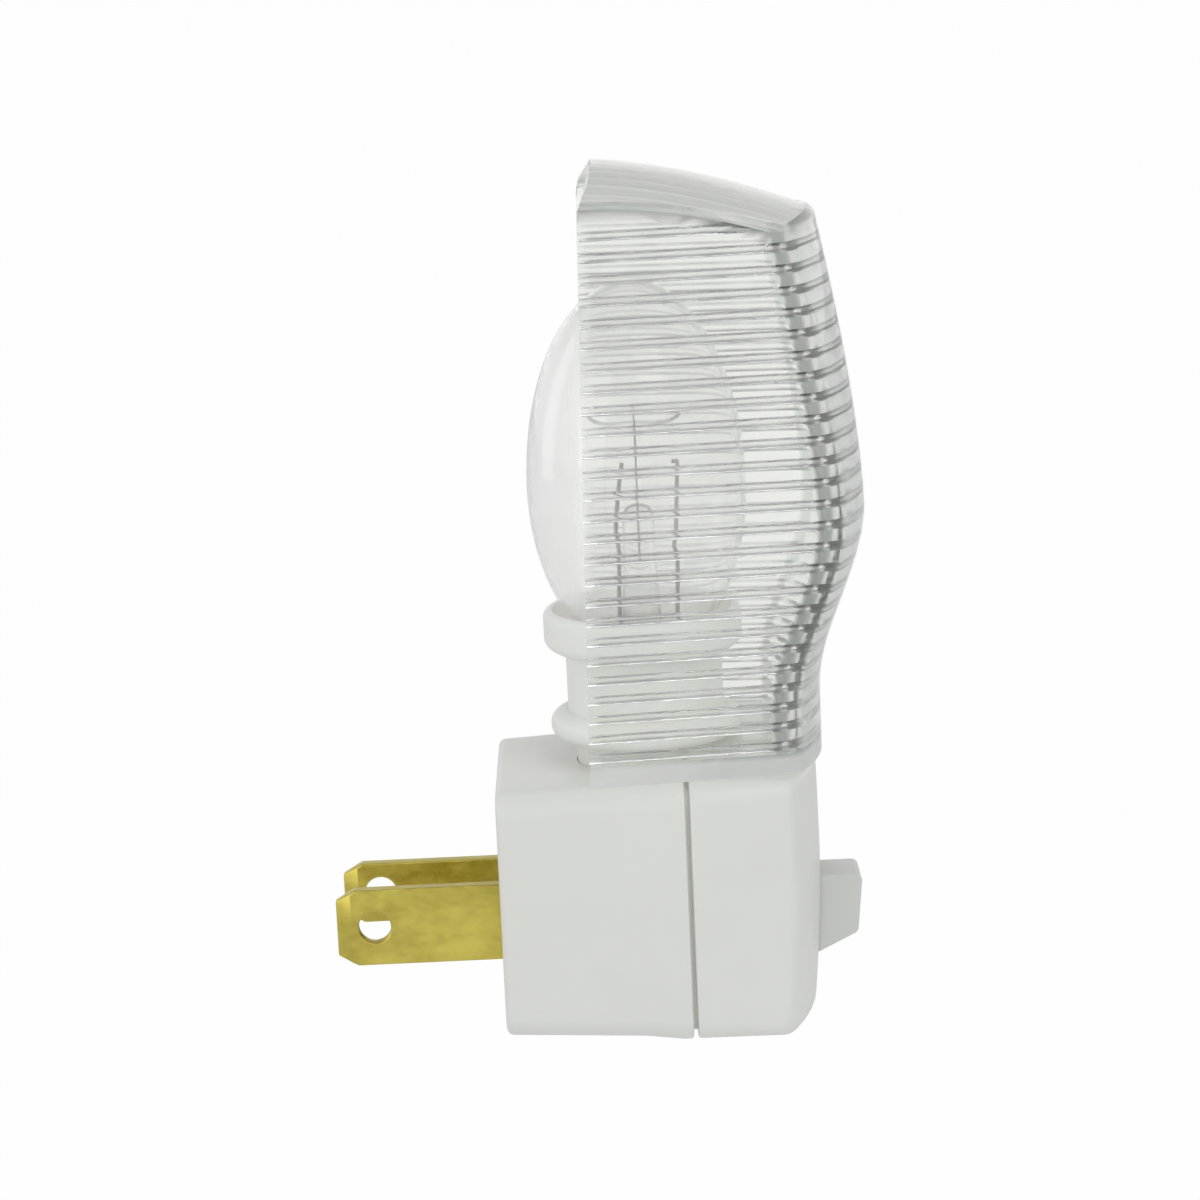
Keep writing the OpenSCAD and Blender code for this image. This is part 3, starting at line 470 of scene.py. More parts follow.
# Where a rib's flank lies, as distances from its crest
FLANK_NEAR, FLANK_MIDDLE, FLANK_FAR = 0.1, 0.2, 0.5
FOOT_FADE = 0.3


def haze_of(x, d, z):
    """How milky the shade looks at a point: painted grey-green shade at inner corners, painted
    milkiness on front, top and foot, little on its sides.
    """
    side, front, under = skin_gaps(x, d, z)
    if not on_inner_skin(side, front, under):
        return HAZE["foot"] * (1 - smooth_step((z - CAVITY_Z) / FOOT_FADE))
    near_front = smooth_step((S["wall"] + 1.2 - front) / 0.4)
    near_top = smooth_step((S["top_wall"] + S["rib_h"] + 0.4 - under) / 0.3)
    # Painted grey-green shade in the thick corner bands
    turn = corner_depth(z) - d < S["wall"] + S["corner_r"] - 0.12
    if turn and side < S["wall"] + 0.75:
        return HAZE["corner"]
    # Painted grey-green shade also along the top's inner edges
    edge = near_top * smooth_step((S["wall"] + 0.9 - side) / 0.4)
    return max(HAZE["side"], HAZE["front"] * near_front, HAZE["top"] * near_top,
               HAZE["corner"] * edge)


def flank_of(x, d, z):
    """Share of painted shadow on the flanks of the ribs inside the shade, and a little painted
    shade on its foot.
    """
    side, front, under = skin_gaps(x, d, z)
    if not on_inner_skin(side, front, under):
        return FLANK["foot"] * (1 - smooth_step((z - CAVITY_Z) / FOOT_FADE))
    if under < S["top_wall"] + S["rib_h"] + 0.1:
        return 0.0
    gap, low = min((abs(z - c), z < c) for c in WALL_RIBS)
    start = smooth_step((d - back_depth(z) - 0.1) / 0.3)
    start *= smooth_step((front - S["wall"] - 0.6) / 0.8)
    if not (FLANK_NEAR if low else FLANK_MIDDLE) < gap < FLANK_FAR:
        return 0.0
    if low:
        return FLANK["below" if gap > FLANK_MIDDLE else "below_crest"] * start
    return FLANK["above"] * start


def paint(piece, name, value_of):
    """Stores a value worked out from each point's place."""
    layer = piece.data.attributes.new(name, "FLOAT", "POINT")
    for v, item in zip(piece.data.vertices, layer.data):
        item.value = value_of(v.co.x / MM, -v.co.y / MM, v.co.z / MM)


def make_shade():
    """The clear hood: two skins joined at the open back, with a keyhole in its foot."""
    bm = bmesh.new()
    for a, b in zip(shade_layer(bm, False), shade_layer(bm, True)):
        stitch(bm, a, b)
    lean_top(bm)
    piece = add_object("shade_moulding", bm, "shade", "clear_plastic", SHARP_CLEAR)

    def keyhole(b):
        r, back = S["keyhole_r"], -LAMP_DEPTH + S["keyhole_back"]
        mid = S["bottom"] + S["floor_t"] / 2
        half = S["floor_t"] / 2 + 1
        ring = [(r * math.sin(math.radians(a)), r * math.cos(math.radians(a)))
                for a in range(-90, 91, 5)]
        line = [(-r, back)] + ring + [(r, back)]
        low = [b.verts.new(row(x, LAMP_DEPTH + d, mid - half)) for x, d in line]
        high = [b.verts.new(row(x, LAMP_DEPTH + d, mid + half)) for x, d in line]
        b.faces.new(low)
        b.faces.new(high)
        n = len(line)
        for i in range(n):
            j = (i + 1) % n
            b.faces.new((low[i], low[j], high[j], high[i]))

    cut(piece, keyhole)
    shade_by_angle(piece, SHARP_CLEAR)
    # Painted light kept on the points: milkiness, grey-green corner shade and rib shadows
    paint(piece, "haze", haze_of)
    paint(piece, "flank", flank_of)
    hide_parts("shade")


# ---------------------------------------------------------------- housing

H = dict(back_half=12.95, back_top=14.75, back_bottom=-10.8, rim_half=14.65, rim_top=15.45,
         rim_bottom=-11.5, shoulder=14.2, parting=18.9, groove=0.44, corner=2.5, wall=1.8,
         back_wall=2.2, front_half=14.2, front=32.9, bow=3.2, crown=3.5, bottom_set=0.95,
         top_set=0.15, front_top=15.2, front_bottom=-11.45, bottom_r=1.2, top_r=0.8)
# Steps of a corner and of a side over LONG_SIDE, and the least radius of a corner
CORNER_STEPS, SIDE_STEPS, LONG_SIDE, LEAST_R = 8, 10, 4, 0.4
# How far the rear half opens in the last stretch before its rim: half width, top and bottom
FLARE_HALF, FLARE_TOP, FLARE_LOW = 0.6, 0.25, 0.3
# Sections next to a rim: how far each lies from it, and how far it is set in
RIM_SETS = ((0.0, 0.22), (0.1, 0.06), (0.3, 0.0))
FACE_POWER = 1.6  # of the face's fall towards its top and bottom
# The paddle's slot: its limits in width, depth and height
PADDLE_SLOT = (-3.25, 3.25, 28.0, 35.0, -7.7, 4.1)
BOW_R = (H["front_half"] ** 2 + H["bow"] ** 2) / (2 * H["bow"])
BOW_CENTRE = H["front"] - BOW_R


def outline(half, z0, z1, r):
    """A rounded rectangle, counter-clockwise from the middle of the top."""
    points = []
    corners = ((-half + r, z1 - r, 90), (-half + r, z0 + r, 180),
               (half - r, z0 + r, 270), (half - r, z1 - r, 360))
    for cx, cz, a0 in corners:
        points += arc(cx, cz, r, a0, a0 + 90, CORNER_STEPS)
    dense = []
    for p, q in zip(points, points[1:] + points[:1]):
        steps = SIDE_STEPS if math.dist(p, q) > LONG_SIDE else 1
        for k in range(steps):
            t = k / steps
            dense.append((p[0] + (q[0] - p[0]) * t, p[1] + (q[1] - p[1]) * t))
    return dense


def loft(bm, sections):
    """Skin through closed sections of width, depth and height points, capped at both ends."""
    made = grid(bm, [[row(*p) for p in s] for s in sections], closed=True)
    bm.faces.new(made[0])
    bm.faces.new(made[-1])


def rear_sections(inset, d0, d1, edge):
    """Sections of the rear housing from the wall to its rim."""
    def at(d, shrink):
        t = min(1.0, d / H["shoulder"])
        u = max(0.0, (d - H["shoulder"]) / (H["parting"] - 1 - H["shoulder"]))
        u = min(1.0, u)
        half = (H["back_half"] + (H["rim_half"] - FLARE_HALF - H["back_half"]) * t
                + FLARE_HALF * u)
        top = H["back_top"] + (H["rim_top"] - FLARE_TOP - H["back_top"]) * t + FLARE_TOP * u
        low = (H["back_bottom"] + (H["rim_bottom"] + FLARE_LOW - H["back_bottom"]) * t
               - FLARE_LOW * u)
        cut_in = inset + shrink
        r = max(LEAST_R, H["corner"] - 0.7 * cut_in)
        return [(x, d, z) for x, z in outline(half - cut_in, low + cut_in, top - cut_in, r)]

    turns = [math.radians(a) for a in (0, 18, 36, 54, 72, 90)]
    depths = [(d0 + edge * (1 - math.cos(a)), edge * (1 - math.sin(a)))
              for a in turns] if edge else [(d0, 0.0)]
    for d in (4.0, 8.0, 12.0, 13.4, 14.2, 15.0, 16.4, 17.9, d1 - 0.3):
        if depths[-1][0] < d < d1 - 0.25:
            depths.append((d, 0.0))
    depths += [(d1 - back, shrink if edge else 0.0) for back, shrink in RIM_SETS[::-1]]
    return [at(d, s) for d, s in depths]


def front_surface(x, z, inset):
    """Depth of the cover's front face."""
    reach = BOW_R - inset
    bowed = BOW_CENTRE + math.sqrt(max(0.0, reach * reach - x * x))
    if z < H["crown"]:
        t = (H["crown"] - z) / (H["crown"] - H["front_bottom"])
        return bowed - H["bottom_set"] * t ** FACE_POWER
    t = (z - H["crown"]) / (H["front_top"] - H["crown"])
    return bowed - H["top_set"] * t ** FACE_POWER


def cover_sections(inset, d0, lip):
    """Sections of the front cover from its rim to the middle of its face."""
    def ring(t, shrink):
        half = H["rim_half"] + (H["front_half"] - H["rim_half"]) * t
        top = H["rim_top"] + (H["front_top"] - H["rim_top"]) * t
        low = H["rim_bottom"] + (H["front_bottom"] - H["rim_bottom"]) * t
        cut_in = inset + shrink
        r = max(LEAST_R, H["corner"] - 0.9 * t - 0.6 * cut_in)
        return outline(half - cut_in, low + cut_in, top - cut_in, r)

    sections = [[(x, d0 + ahead, z) for x, z in ring(0, shrink)]
                for ahead, shrink in (RIM_SETS if lip else RIM_SETS[-1:])]
    start = d0 + RIM_SETS[-1][0]

    def edge_r(z):
        t = smooth_step((z - H["front_bottom"]) / 6.0)
        return (H["bottom_r"] * (1 - t) + H["top_r"] * t) * (1 if lip else 0.6)

    for k in range(1, 6):
        line = []
        for (x, z), (xf, zf) in zip(ring(0, 0), ring(1, 0)):
            t = k / 6
            end = front_surface(xf, zf, inset) - edge_r(zf)
            line.append((x + (xf - x) * t, start + (end - d0 - RIM_SETS[-1][0]) * t,
                         z + (zf - z) * t))
        sections.append(line)
    base = ring(1, 0)
    mid_z = (H["front_top"] + H["front_bottom"]) / 2
    steps = 8
    for k in range(steps + 1):
        a = math.radians(90 * k / steps)
        line = []
        for x, z in base:
            r = edge_r(z)
            inward = r * (1 - math.cos(a))
            half, tall = H["front_half"] - inset, (H["front_top"] - H["front_bottom"]) / 2 - inset
            sx = 1 - inward / half
            sz = 1 - inward / tall
            px, pz = x * sx, mid_z + (z - mid_z) * sz
            line.append((px, front_surface(px, pz, inset) - r * (1 - math.sin(a)), pz))
        sections.append(line)
    rim = sections[-1]
    rings = 7
    for k in range(1, rings + 1):
        s = 1 - k / rings * 0.985
        sections.append([(x * s, front_surface(x * s, mid_z + (z - mid_z) * s, inset),
                          mid_z + (z - mid_z) * s) for x, _, z in rim])
    return sections


def cut_throat(piece, low):
    """Makes room for the socket's throat in the top of the base, from a height upwards."""
    def throat(b):
        revolve(b, [(THROAT_R, low), (THROAT_R, THROAT_TOP)], LAMP_DEPTH, 64)
        bmesh.ops.holes_fill(b, edges=b.edges)

    cut(piece, throat)


def make_rear():
    """The rear half of the base, hollow, with the throat and the blades' slots cut out."""
    bm = bmesh.new()
    loft(bm, rear_sections(0.0, 0.0, H["parting"], 0.7))
    piece = add_object("rear_moulding", bm, "base", "housing_white", SHARP_WHITE)

    def hollow(b):
        loft(b, rear_sections(H["wall"], H["back_wall"], H["parting"] + 0.8, 0.0))

    cut(piece, hollow)
    cut_throat(piece, 11.5)
    for x, w in BLADES:
        cut(piece, lambda b, x=x, w=w: box_mesh(
            b, x - SLOT_HALF, x + SLOT_HALF, -1, H["back_wall"] + 1,
            -w / 2 - SLOT_GAP, w / 2 + SLOT_GAP))
    shade_by_angle(piece, SHARP_WHITE)
    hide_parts("rear_housing")


def make_lip():
    """The recessed lip seen at the bottom of the parting groove."""
    bm = bmesh.new()
    ends = (H["parting"] - 1.2, H["parting"] + H["groove"] + 0.5)
    lines = []
    for depths, inset, r in ((ends, 0.9, 1.7), (ends[::-1], 1.6, 1.2)):
        for d in depths:
            lines.append([(x, d, z) for x, z in outline(
                H["rim_half"] - inset, H["rim_bottom"] + inset, H["rim_top"] - inset, r)])
    lines.append(lines[0])
    grid(bm, [[row(*p) for p in s] for s in lines], closed=True)
    piece = add_object("parting_lip", bm, "base", "housing_white", SHARP_WHITE)
    cut_throat(piece, 11.0)


def make_cover():
    """The front half of the base, hollow, with the throat and the paddle's slot cut out."""
    bm = bmesh.new()
    rear = H["parting"] + H["groove"]
    loft(bm, cover_sections(0.0, rear, True))
    piece = add_object("front_moulding", bm, "base", "housing_white", SHARP_WHITE)

    def hollow(b):
        loft(b, cover_sections(H["wall"], rear - 1.0, False))

    cut(piece, hollow)
    cut_throat(piece, 11.0)
    cut(piece, lambda b: box_mesh(b, *PADDLE_SLOT))
    shade_by_angle(piece, SHARP_WHITE)
    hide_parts("front_cover")


# ---------------------------------------------------------------- switch

L = dict(half=3.0, depth=28.0, z=-1.8, drum=5.65, throw=26.6, top=2.15, nose=37.05, low=-4.2,
         bore=1.05, arm_half=2.4, arm_back=21.15, arm_front=26.0, arm_z=-3.8, arm_h=1.6,
         slot_front=22.85, beyond=4.0, edge=0.3)


def prism(bm, points, half):
    """A closed block from a side view of depth and height points."""
    left, right = ([bm.verts.new(row(x, d, z)) for d, z in points] for x in (-half, half))
    bm.faces.new(left)
    bm.faces.new(right[::-1])
    for i in range(len(points)):
        j = (i + 1) % len(points)
        bm.faces.new((left[i], right[i], right[j], left[j]))


def make_lever():
    """The paddle: its drum, its low flat top, its rounded nose and its lower flank."""
    lift = math.degrees(math.asin((L["top"] - L["z"]) / L["drum"]))
    side = arc(L["depth"], L["z"], L["drum"], lift, 270 + L["throw"], 44)
    side += arc(L["nose"] - 1.3, L["low"] + 0.75, 0.8, -62, -4, 5)
    side += arc(L["nose"] - 0.7, L["top"] - 0.7, 0.7, 4, 90, 5)
    bm = bmesh.new()
    prism(bm, side, L["half"])
    piece = add_object("switch_paddle", bm, "rocker", "switch_white", SHARP_WHITE)
    cut(piece, lambda b: box_mesh(b, -L["arm_half"], L["arm_half"], L["arm_back"],
                                  L["arm_front"], L["arm_z"], L["arm_z"] + L["arm_h"]), "UNION")
    cut(piece, lambda b: prism(b, arc(L["depth"], L["z"], L["bore"], 0, 345, 23),
                               L["beyond"]))
    cut(piece, lambda b: box_mesh(b, -L["beyond"], L["beyond"], L["arm_back"] - 1,
                                  L["slot_front"], L["arm_z"] - 1.5, L["arm_z"]))
    bevel(piece, L["edge"], 3)
    shade_by_angle(piece, SHARP_WHITE)
    flatten(piece)
    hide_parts("switch_lever")


# ---------------------------------------------------------------- socket and lamp

def make_socket():
    """The white spool: collar, neck, lower flange and throat."""
    neck, flange_r, collar_r = 7.95, 9.75, 10.1
    profile = [(7.2, 11.2), (7.2, 17.7)]
    profile += arc(flange_r - 1.1, 18.8, 1.1, -90, 0, 8)
    profile += [(neck + (flange_r - neck) * math.cos(math.radians(a)),
                 19.1 + 1.3 * math.sin(math.radians(a))) for a in range(0, 91, 9)]
    profile += [(neck, 22.0), (neck, 24.5), (neck, 26.5)]
    profile += [(neck + (collar_r - neck) * math.sin(math.radians(a)),
                 26.5 + 1.4 * (1 - math.cos(math.radians(a)))) for a in range(9, 91, 9)]
    profile += arc(collar_r - 0.8, 30.1, 0.8, 0, 90, 6)
    profile += arc(9.35, 30.65, 0.25, 90, 180, 4)
    profile += [(6.6, 27.8), (6.6, 16.0), (5.45, 16.0), (5.45, 12.3), (0.0, 12.3)]
    profile += [(0.0, 11.2)]
    bm = bmesh.new()
    revolve(bm, profile, LAMP_DEPTH, 96, closed=True)
    piece = add_object("socket_spool", bm, "base", "socket_white", SHARP_CLEAR)
    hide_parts("socket_body")


# The rolled thread of the lamp's cap: its wall, heights, wave, pitch and run-out
T = dict(r=5.65, wall=0.3, bottom=17.3, top=28.4, wave=0.3, pitch=2.54, run=0.6, rows=64,
         segments=72)


def thread_wall(r):
    """Rows of a rolled wall, whose wave fades out at both ends."""
    lines = []
    for i in range(T["rows"] + 1):
        z = T["bottom"] + (T["top"] - T["bottom"]) * i / T["rows"]
        e = T["wave"] * min(1.0, max(0.0, min(z - T["bottom"], T["top"] - z) / T["run"]))
        line = []
        for k in range(T["segments"]):
            a = 2 * math.pi * k / T["segments"]
            q = r - (T["wave"] - e) + e * math.cos(a - 2 * math.pi * z / T["pitch"])
            line.append(Vector((q * math.cos(a) * MM, (q * math.sin(a) - LAMP_DEPTH) * MM,
                                z * MM)))
        lines.append(line)
    return lines


def make_thread(name, body, slot, node):
    """A thin rolled tube with a real helix inside and out."""
    outer, inner = thread_wall(T["r"]), thread_wall(T["r"] - T["wall"])
    bm = bmesh.new()
    grid(bm, outer + inner[::-1] + outer[:1], closed=True)
    piece = add_object(name, bm, body, slot, SHARP_ROUND)
    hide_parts(node)


# The lamp's envelope: two half ellipses on the height z, and the wall t
G = dict(r=11.1, z=43.5, up=20.8, down=18.2, t=0.55, low=28.41, neck=4.9, steps=48)
GLASS_FOOT = 20.3
# A painted sheen: the envelope is milkier on the side of the wall, up to HAZE_DEPTH + HAZE_FADE,
# standing in for soft white reflections there
GLASS_SHEEN, HAZE_DEPTH, HAZE_FADE = 0.24, 7.5, 4


def glass_line(t, z0):
    """Outline of the envelope from a height to its top, set in by t."""
    a0 = -math.degrees(math.asin((G["z"] - z0) / (G["down"] - t)))
    out = []
    for i in range(G["steps"] + 1):
        a = math.radians(a0 + (90 - a0) * i / G["steps"])
        tall = (G["up"] if a > 0 else G["down"]) - t
        out.append((max(0.0, (G["r"] - t) * math.cos(a)), G["z"] + tall * math.sin(a)))
    return out


def make_glass():
    """The clear envelope with its neck, as a wall of even thickness."""
    neck = G["neck"]
    profile = [(neck - G["t"], GLASS_FOOT), (neck, GLASS_FOOT), (neck, G["low"])]
    profile += glass_line(0.0, G["low"])
    profile += glass_line(G["t"], G["low"] + G["t"])[::-1]
    profile += [(neck - G["t"], G["low"] + G["t"])]
    bm = bmesh.new()
    revolve(bm, profile, LAMP_DEPTH, 128, closed=True)
    piece = add_object("lamp_envelope", bm, "lamp", "lamp_glass", SHARP_CLEAR)
    # Painted sheen on the wall side of the envelope
    paint(piece, "haze",
          lambda x, d, z: GLASS_SHEEN * (1 - smooth_step((d - HAZE_DEPTH) / HAZE_FADE)))
    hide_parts("bulb_glass")


def tube(name, splines, radius, body, slot, resolution):
    """Round wire through points, turned into a mesh."""
    curve = bpy.data.curves.new(name, "CURVE")
    curve.dimensions = "3D"
    curve.bevel_depth = radius * MM
    curve.bevel_resolution = resolution
    curve.use_fill_caps = True
    for points in splines:
        spline = curve.splines.new("POLY")
        spline.points.add(len(points) - 1)
        for p, q in zip(spline.points, points):
            p.co = (*row(*q), 1.0)
    source = new_object(name + "_path", curve)
    graph = bpy.context.evaluated_depsgraph_get()
    mesh = bpy.data.meshes.new_from_object(source.evaluated_get(graph))
    bpy.data.objects.remove(source)
    bpy.data.curves.remove(curve)
    bm = bmesh.new()
    bm.from_mesh(mesh)
    bpy.data.meshes.remove(mesh)
    return add_object(name, bm, body, slot, SHARP_ROUND)


def make_wires():
    """Lead wires with their hooks, the middle wire with its arms, and the coil."""
    rear = [(13.3, GLASS_FOOT), (13.3, 28.4), (13.35, 32.5), (13.55, 36.4), (13.3, 38.7),
            (13.36, 39.8), (13.75, 43.0), (14.2, 45.7)]
    front = [(19.1, GLASS_FOOT), (19.15, 28.6), (19.35, 32.8), (19.45, 36.1), (19.1, 36.9),
             (19.4, 38.4), (19.5, 40.3), (19.8, 45.3), (19.75, 45.65), (19.2, 45.6)]
    leads = [[(0, d, z) for d, z in line] for line in (rear, front)]
    wires = tube("lamp_leads", leads, 0.22, "lamp", "lamp_wire", 4)
    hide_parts("bulb_leads")

    ring_r, ring_z, fork = 4.6, 50.5, 44.4
    arms = [[(0, LAMP_DEPTH, 35.4), (0, LAMP_DEPTH, fork)]]
    for s in (-1, 1):
        arms.append([(0, LAMP_DEPTH, fork), (s * 1.2, LAMP_DEPTH, fork + 0.9),
                     (s * 3.9, LAMP_DEPTH, ring_z - 1.0), (s * 4.3, LAMP_DEPTH, ring_z + 0.15),
                     (s * 4.75, LAMP_DEPTH, ring_z + 0.1)])
    support = tube("lamp_support", arms, 0.08, "lamp", "lamp_wire", 4)
    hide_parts("bulb_supports")

    coils = []
    turns, per_turn, coil_r, sweep, droop = 60, 10, 0.16, 160, 0.25
    for start in (-80, 100):
        path = []
        for i in range(turns * per_turn + 1):
            u = i / (turns * per_turn)
            a = math.radians(start + sweep * u)
            b = 2 * math.pi * i / per_turn
            r = ring_r + coil_r * math.cos(b)
            sag = droop * math.sin(math.pi * u * 2) ** 2
            path.append((r * math.cos(a), LAMP_DEPTH - r * math.sin(a),
                         ring_z - sag + coil_r * math.sin(b)))
        coils.append(path)
    coil = tube("lamp_coil", coils, 0.035, "lamp", "tungsten", 1)
    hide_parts("bulb_filament")


def make_stem():
    """Glass flare and stem, pinched round the wires at its top."""
    profile = [(0.0, GLASS_FOOT), (4.3, GLASS_FOOT), (4.3, 21.5), (3.6, 22.6), (2.9, 24.4),
               (2.3, 27.3), (2.0, 30.0), (1.75, 34.0), (1.7, 36.4), (1.6, 38.4),
               (1.62, 40.2), (1.3, 41.1), (0.6, 41.4), (0.0, 41.4)]
    bm = bmesh.new()
    revolve(bm, profile, LAMP_DEPTH, 48)
    piece = add_object("lamp_stem", bm, "lamp", "lamp_glass", SHARP_ROUND)
    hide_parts("bulb_stem")


# ---------------------------------------------------------------- materials

def material(name):
    """A new material with nothing but its output and a principled shader."""
    mat = bpy.data.materials.new(name)
    mat.use_nodes = True
    tree = mat.node_tree
    tree.nodes.clear()
    out = tree.nodes.new("ShaderNodeOutputMaterial")
    shader = tree.nodes.new("ShaderNodeBsdfPrincipled")
    tree.links.new(shader.outputs["BSDF"], out.inputs["Surface"])
    return mat, tree, shader


def output_of(tree):
    """The output node of a material."""
    return next(n for n in tree.nodes if n.type == "OUTPUT_MATERIAL")


def noise(tree, scale, detail=3.0, stretch=(1, 1, 1), rough=0.5):
    """Noise on the object's own coordinates, in cycles per millimetre."""
    coord = tree.nodes.new("ShaderNodeTexCoord")
    mapping = tree.nodes.new("ShaderNodeMapping")
    mapping.inputs["Scale"].default_value = [s / MM for s in stretch]
    tex = tree.nodes.new("ShaderNodeTexNoise")
    tex.inputs["Scale"].default_value = scale
    tex.inputs["Detail"].default_value = detail
    tex.inputs["Roughness"].default_value = rough
    tree.links.new(coord.outputs["Object"], mapping.inputs["Vector"])
    tree.links.new(mapping.outputs["Vector"], tex.inputs["Vector"])
    return tex


def ramp(tree, source, stops):
    """A colour ramp on a value."""
    node = tree.nodes.new("ShaderNodeValToRGB")
    bar = node.color_ramp
    while len(bar.elements) < len(stops):
        bar.elements.new(0.5)
    for el, (pos, col) in zip(bar.elements, stops):
        el.position = pos
        el.color = (*col, 1.0)
    tree.links.new(source, node.inputs["Fac"])
    return node


def spread(tree, source, lo, hi, a=0.0, b=1.0):
    """Maps a value between a and b to lo and hi."""
    node = tree.nodes.new("ShaderNodeMapRange")
    node.inputs["From Min"].default_value = a
    node.inputs["From Max"].default_value = b
    node.inputs["To Min"].default_value = lo
    node.inputs["To Max"].default_value = hi
    tree.links.new(source, node.inputs["Value"])
    return node


def painted(tree, name):
    """The value that paint() stored under a name."""
    node = tree.nodes.new("ShaderNodeAttribute")
    node.attribute_name = name
    return node.outputs["Fac"]


def maths(tree, operation, *sources):
    """A math node on other nodes' outputs or numbers."""
    node = tree.nodes.new("ShaderNodeMath")
    node.operation = operation
    for socket, source in zip(node.inputs, sources):
        if isinstance(source, float):
            socket.default_value = source
        else:
            tree.links.new(source, socket)
    return node


def bump(tree, shader, source, distance, strength):
    """Relief in the shading, its distance in millimetres."""
    node = tree.nodes.new("ShaderNodeBump")
    node.inputs["Distance"].default_value = distance * MM
    node.inputs["Strength"].default_value = strength
    tree.links.new(source, node.inputs["Height"])
    tree.links.new(node.outputs["Normal"], shader.inputs["Normal"])


def plastic(name, colour, rough, tint=0.02):
    """Moulded plastic: faint mottling, uneven gloss and a trace of sink marks."""
    mat, tree, shader = material(name)
    cloud = noise(tree, 0.11, 3.0)
    dark = tuple(c * (1 - tint) for c in colour)
    col = ramp(tree, cloud.outputs["Fac"], [(0.3, dark), (0.7, colour)])
    tree.links.new(col.outputs["Color"], shader.inputs["Base Color"])
    grain = noise(tree, 0.7, 3.0)
    gloss = spread(tree, grain.outputs["Fac"], rough - 0.04, rough + 0.05, 0.3, 0.7)
    tree.links.new(gloss.outputs["Result"], shader.inputs["Roughness"])
    bump(tree, shader, grain.outputs["Fac"], 0.002, 0.15)
    shader.inputs["IOR"].default_value = 1.5
    return mat


def metal(name, light, dark, rough, stretch, streak=0.5):
    """Rolled metal: streaks along the strip, tarnish in soft patches."""
    mat, tree, shader = material(name)
    patch = noise(tree, 0.16, 4.0, (1, 0.6, 1), 0.6)
    lines = noise(tree, 1.0, 4.0, stretch, 0.6)
    mixed = tree.nodes.new("ShaderNodeMix")
    mixed.data_type = "FLOAT"
    mixed.inputs[0].default_value = streak
    tree.links.new(patch.outputs["Fac"], mixed.inputs[2])
    tree.links.new(lines.outputs["Fac"], mixed.inputs[3])
    col = ramp(tree, mixed.outputs[0], [(0.36, dark), (0.62, light)])
    tree.links.new(col.outputs["Color"], shader.inputs["Base Color"])
    shader.inputs["Metallic"].default_value = 1.0
    gloss = spread(tree, lines.outputs["Fac"], rough - 0.08, rough + 0.1, 0.3, 0.7)
    tree.links.new(gloss.outputs["Result"], shader.inputs["Roughness"])
    bump(tree, shader, lines.outputs["Fac"], 0.01, 0.5)
    return mat


# Painted colours: the grey-green shade of the hood's inner corners and the shadows of its ribs,
# and how far those cover
PAINTED_CORNER_SHADE = (0.80, 0.86, 0.815)
PAINTED_RIB_SHADOW = (0.07, 0.07, 0.075)
FLANK_COVER = 0.75


def clear(name, colour, cloudy, ior, rough, wave, haze, depth_tint=None):
    """Clear glass or plastic: slight waviness, uneven polish, haze and tint with thickness, and
    the painted sheen, shade and rib shadows that the haze and flank values carry.
    """
    mat, tree, shader = material(name)
    if depth_tint:
        inside = tree.nodes.new("ShaderNodeVolumeAbsorption")
        inside.inputs["Color"].default_value = (*depth_tint[0], 1.0)
        inside.inputs["Density"].default_value = depth_tint[1]
        out = output_of(tree)
        tree.links.new(inside.outputs["Volume"], out.inputs["Volume"])
    soft = noise(tree, 0.12, 2.0)
    total = spread(tree, soft.outputs["Fac"], haze * 0.85, haze * 1.15, 0.3, 0.7)
    added = maths(tree, "ADD", total.outputs["Result"], painted(tree, "haze"))
    added.use_clamp = True
    # From clear through milky to the painted grey-green shade of thick corners
    col = ramp(tree, added.outputs[0], [(0.0, colour), (0.5, cloudy), (0.78, cloudy),
                                        (0.85, PAINTED_CORNER_SHADE)])
    # Noise makes the painted rib shadows deeper in some places than in others
    shadow_patches = noise(tree, 0.22, 2.0, (1, 1, 0.2))
    depth = spread(tree, shadow_patches.outputs["Fac"], 0.55, 1.0, 0.35, 0.6)
    share = maths(tree, "MULTIPLY", painted(tree, "flank"), depth.outputs["Result"])
    # The painted rib shadows darken the colour and hold back the light that passes
    lined = tree.nodes.new("ShaderNodeMix")
    lined.data_type = "RGBA"
    lined.inputs[7].default_value = (*PAINTED_RIB_SHADOW, 1.0)
    tree.links.new(share.outputs[0], lined.inputs[0])
    tree.links.new(col.outputs["Color"], lined.inputs[6])
    tree.links.new(lined.outputs[2], shader.inputs["Base Color"])
    solid = maths(tree, "MULTIPLY_ADD", share.outputs[0], FLANK_COVER, added.outputs[0])
    through = spread(tree, solid.outputs[0], 1.0, 0.0)
    tree.links.new(through.outputs["Result"], shader.inputs["Transmission Weight"])
    shader.inputs["IOR"].default_value = ior
    fine = noise(tree, 0.5, 3.0)
    gloss = spread(tree, fine.outputs["Fac"], max(0.0, rough - 0.01), rough + 0.02, 0.3, 0.7)
    tree.links.new(gloss.outputs["Result"], shader.inputs["Roughness"])
    bump(tree, shader, soft.outputs["Fac"], wave, 1.0)
    return mat


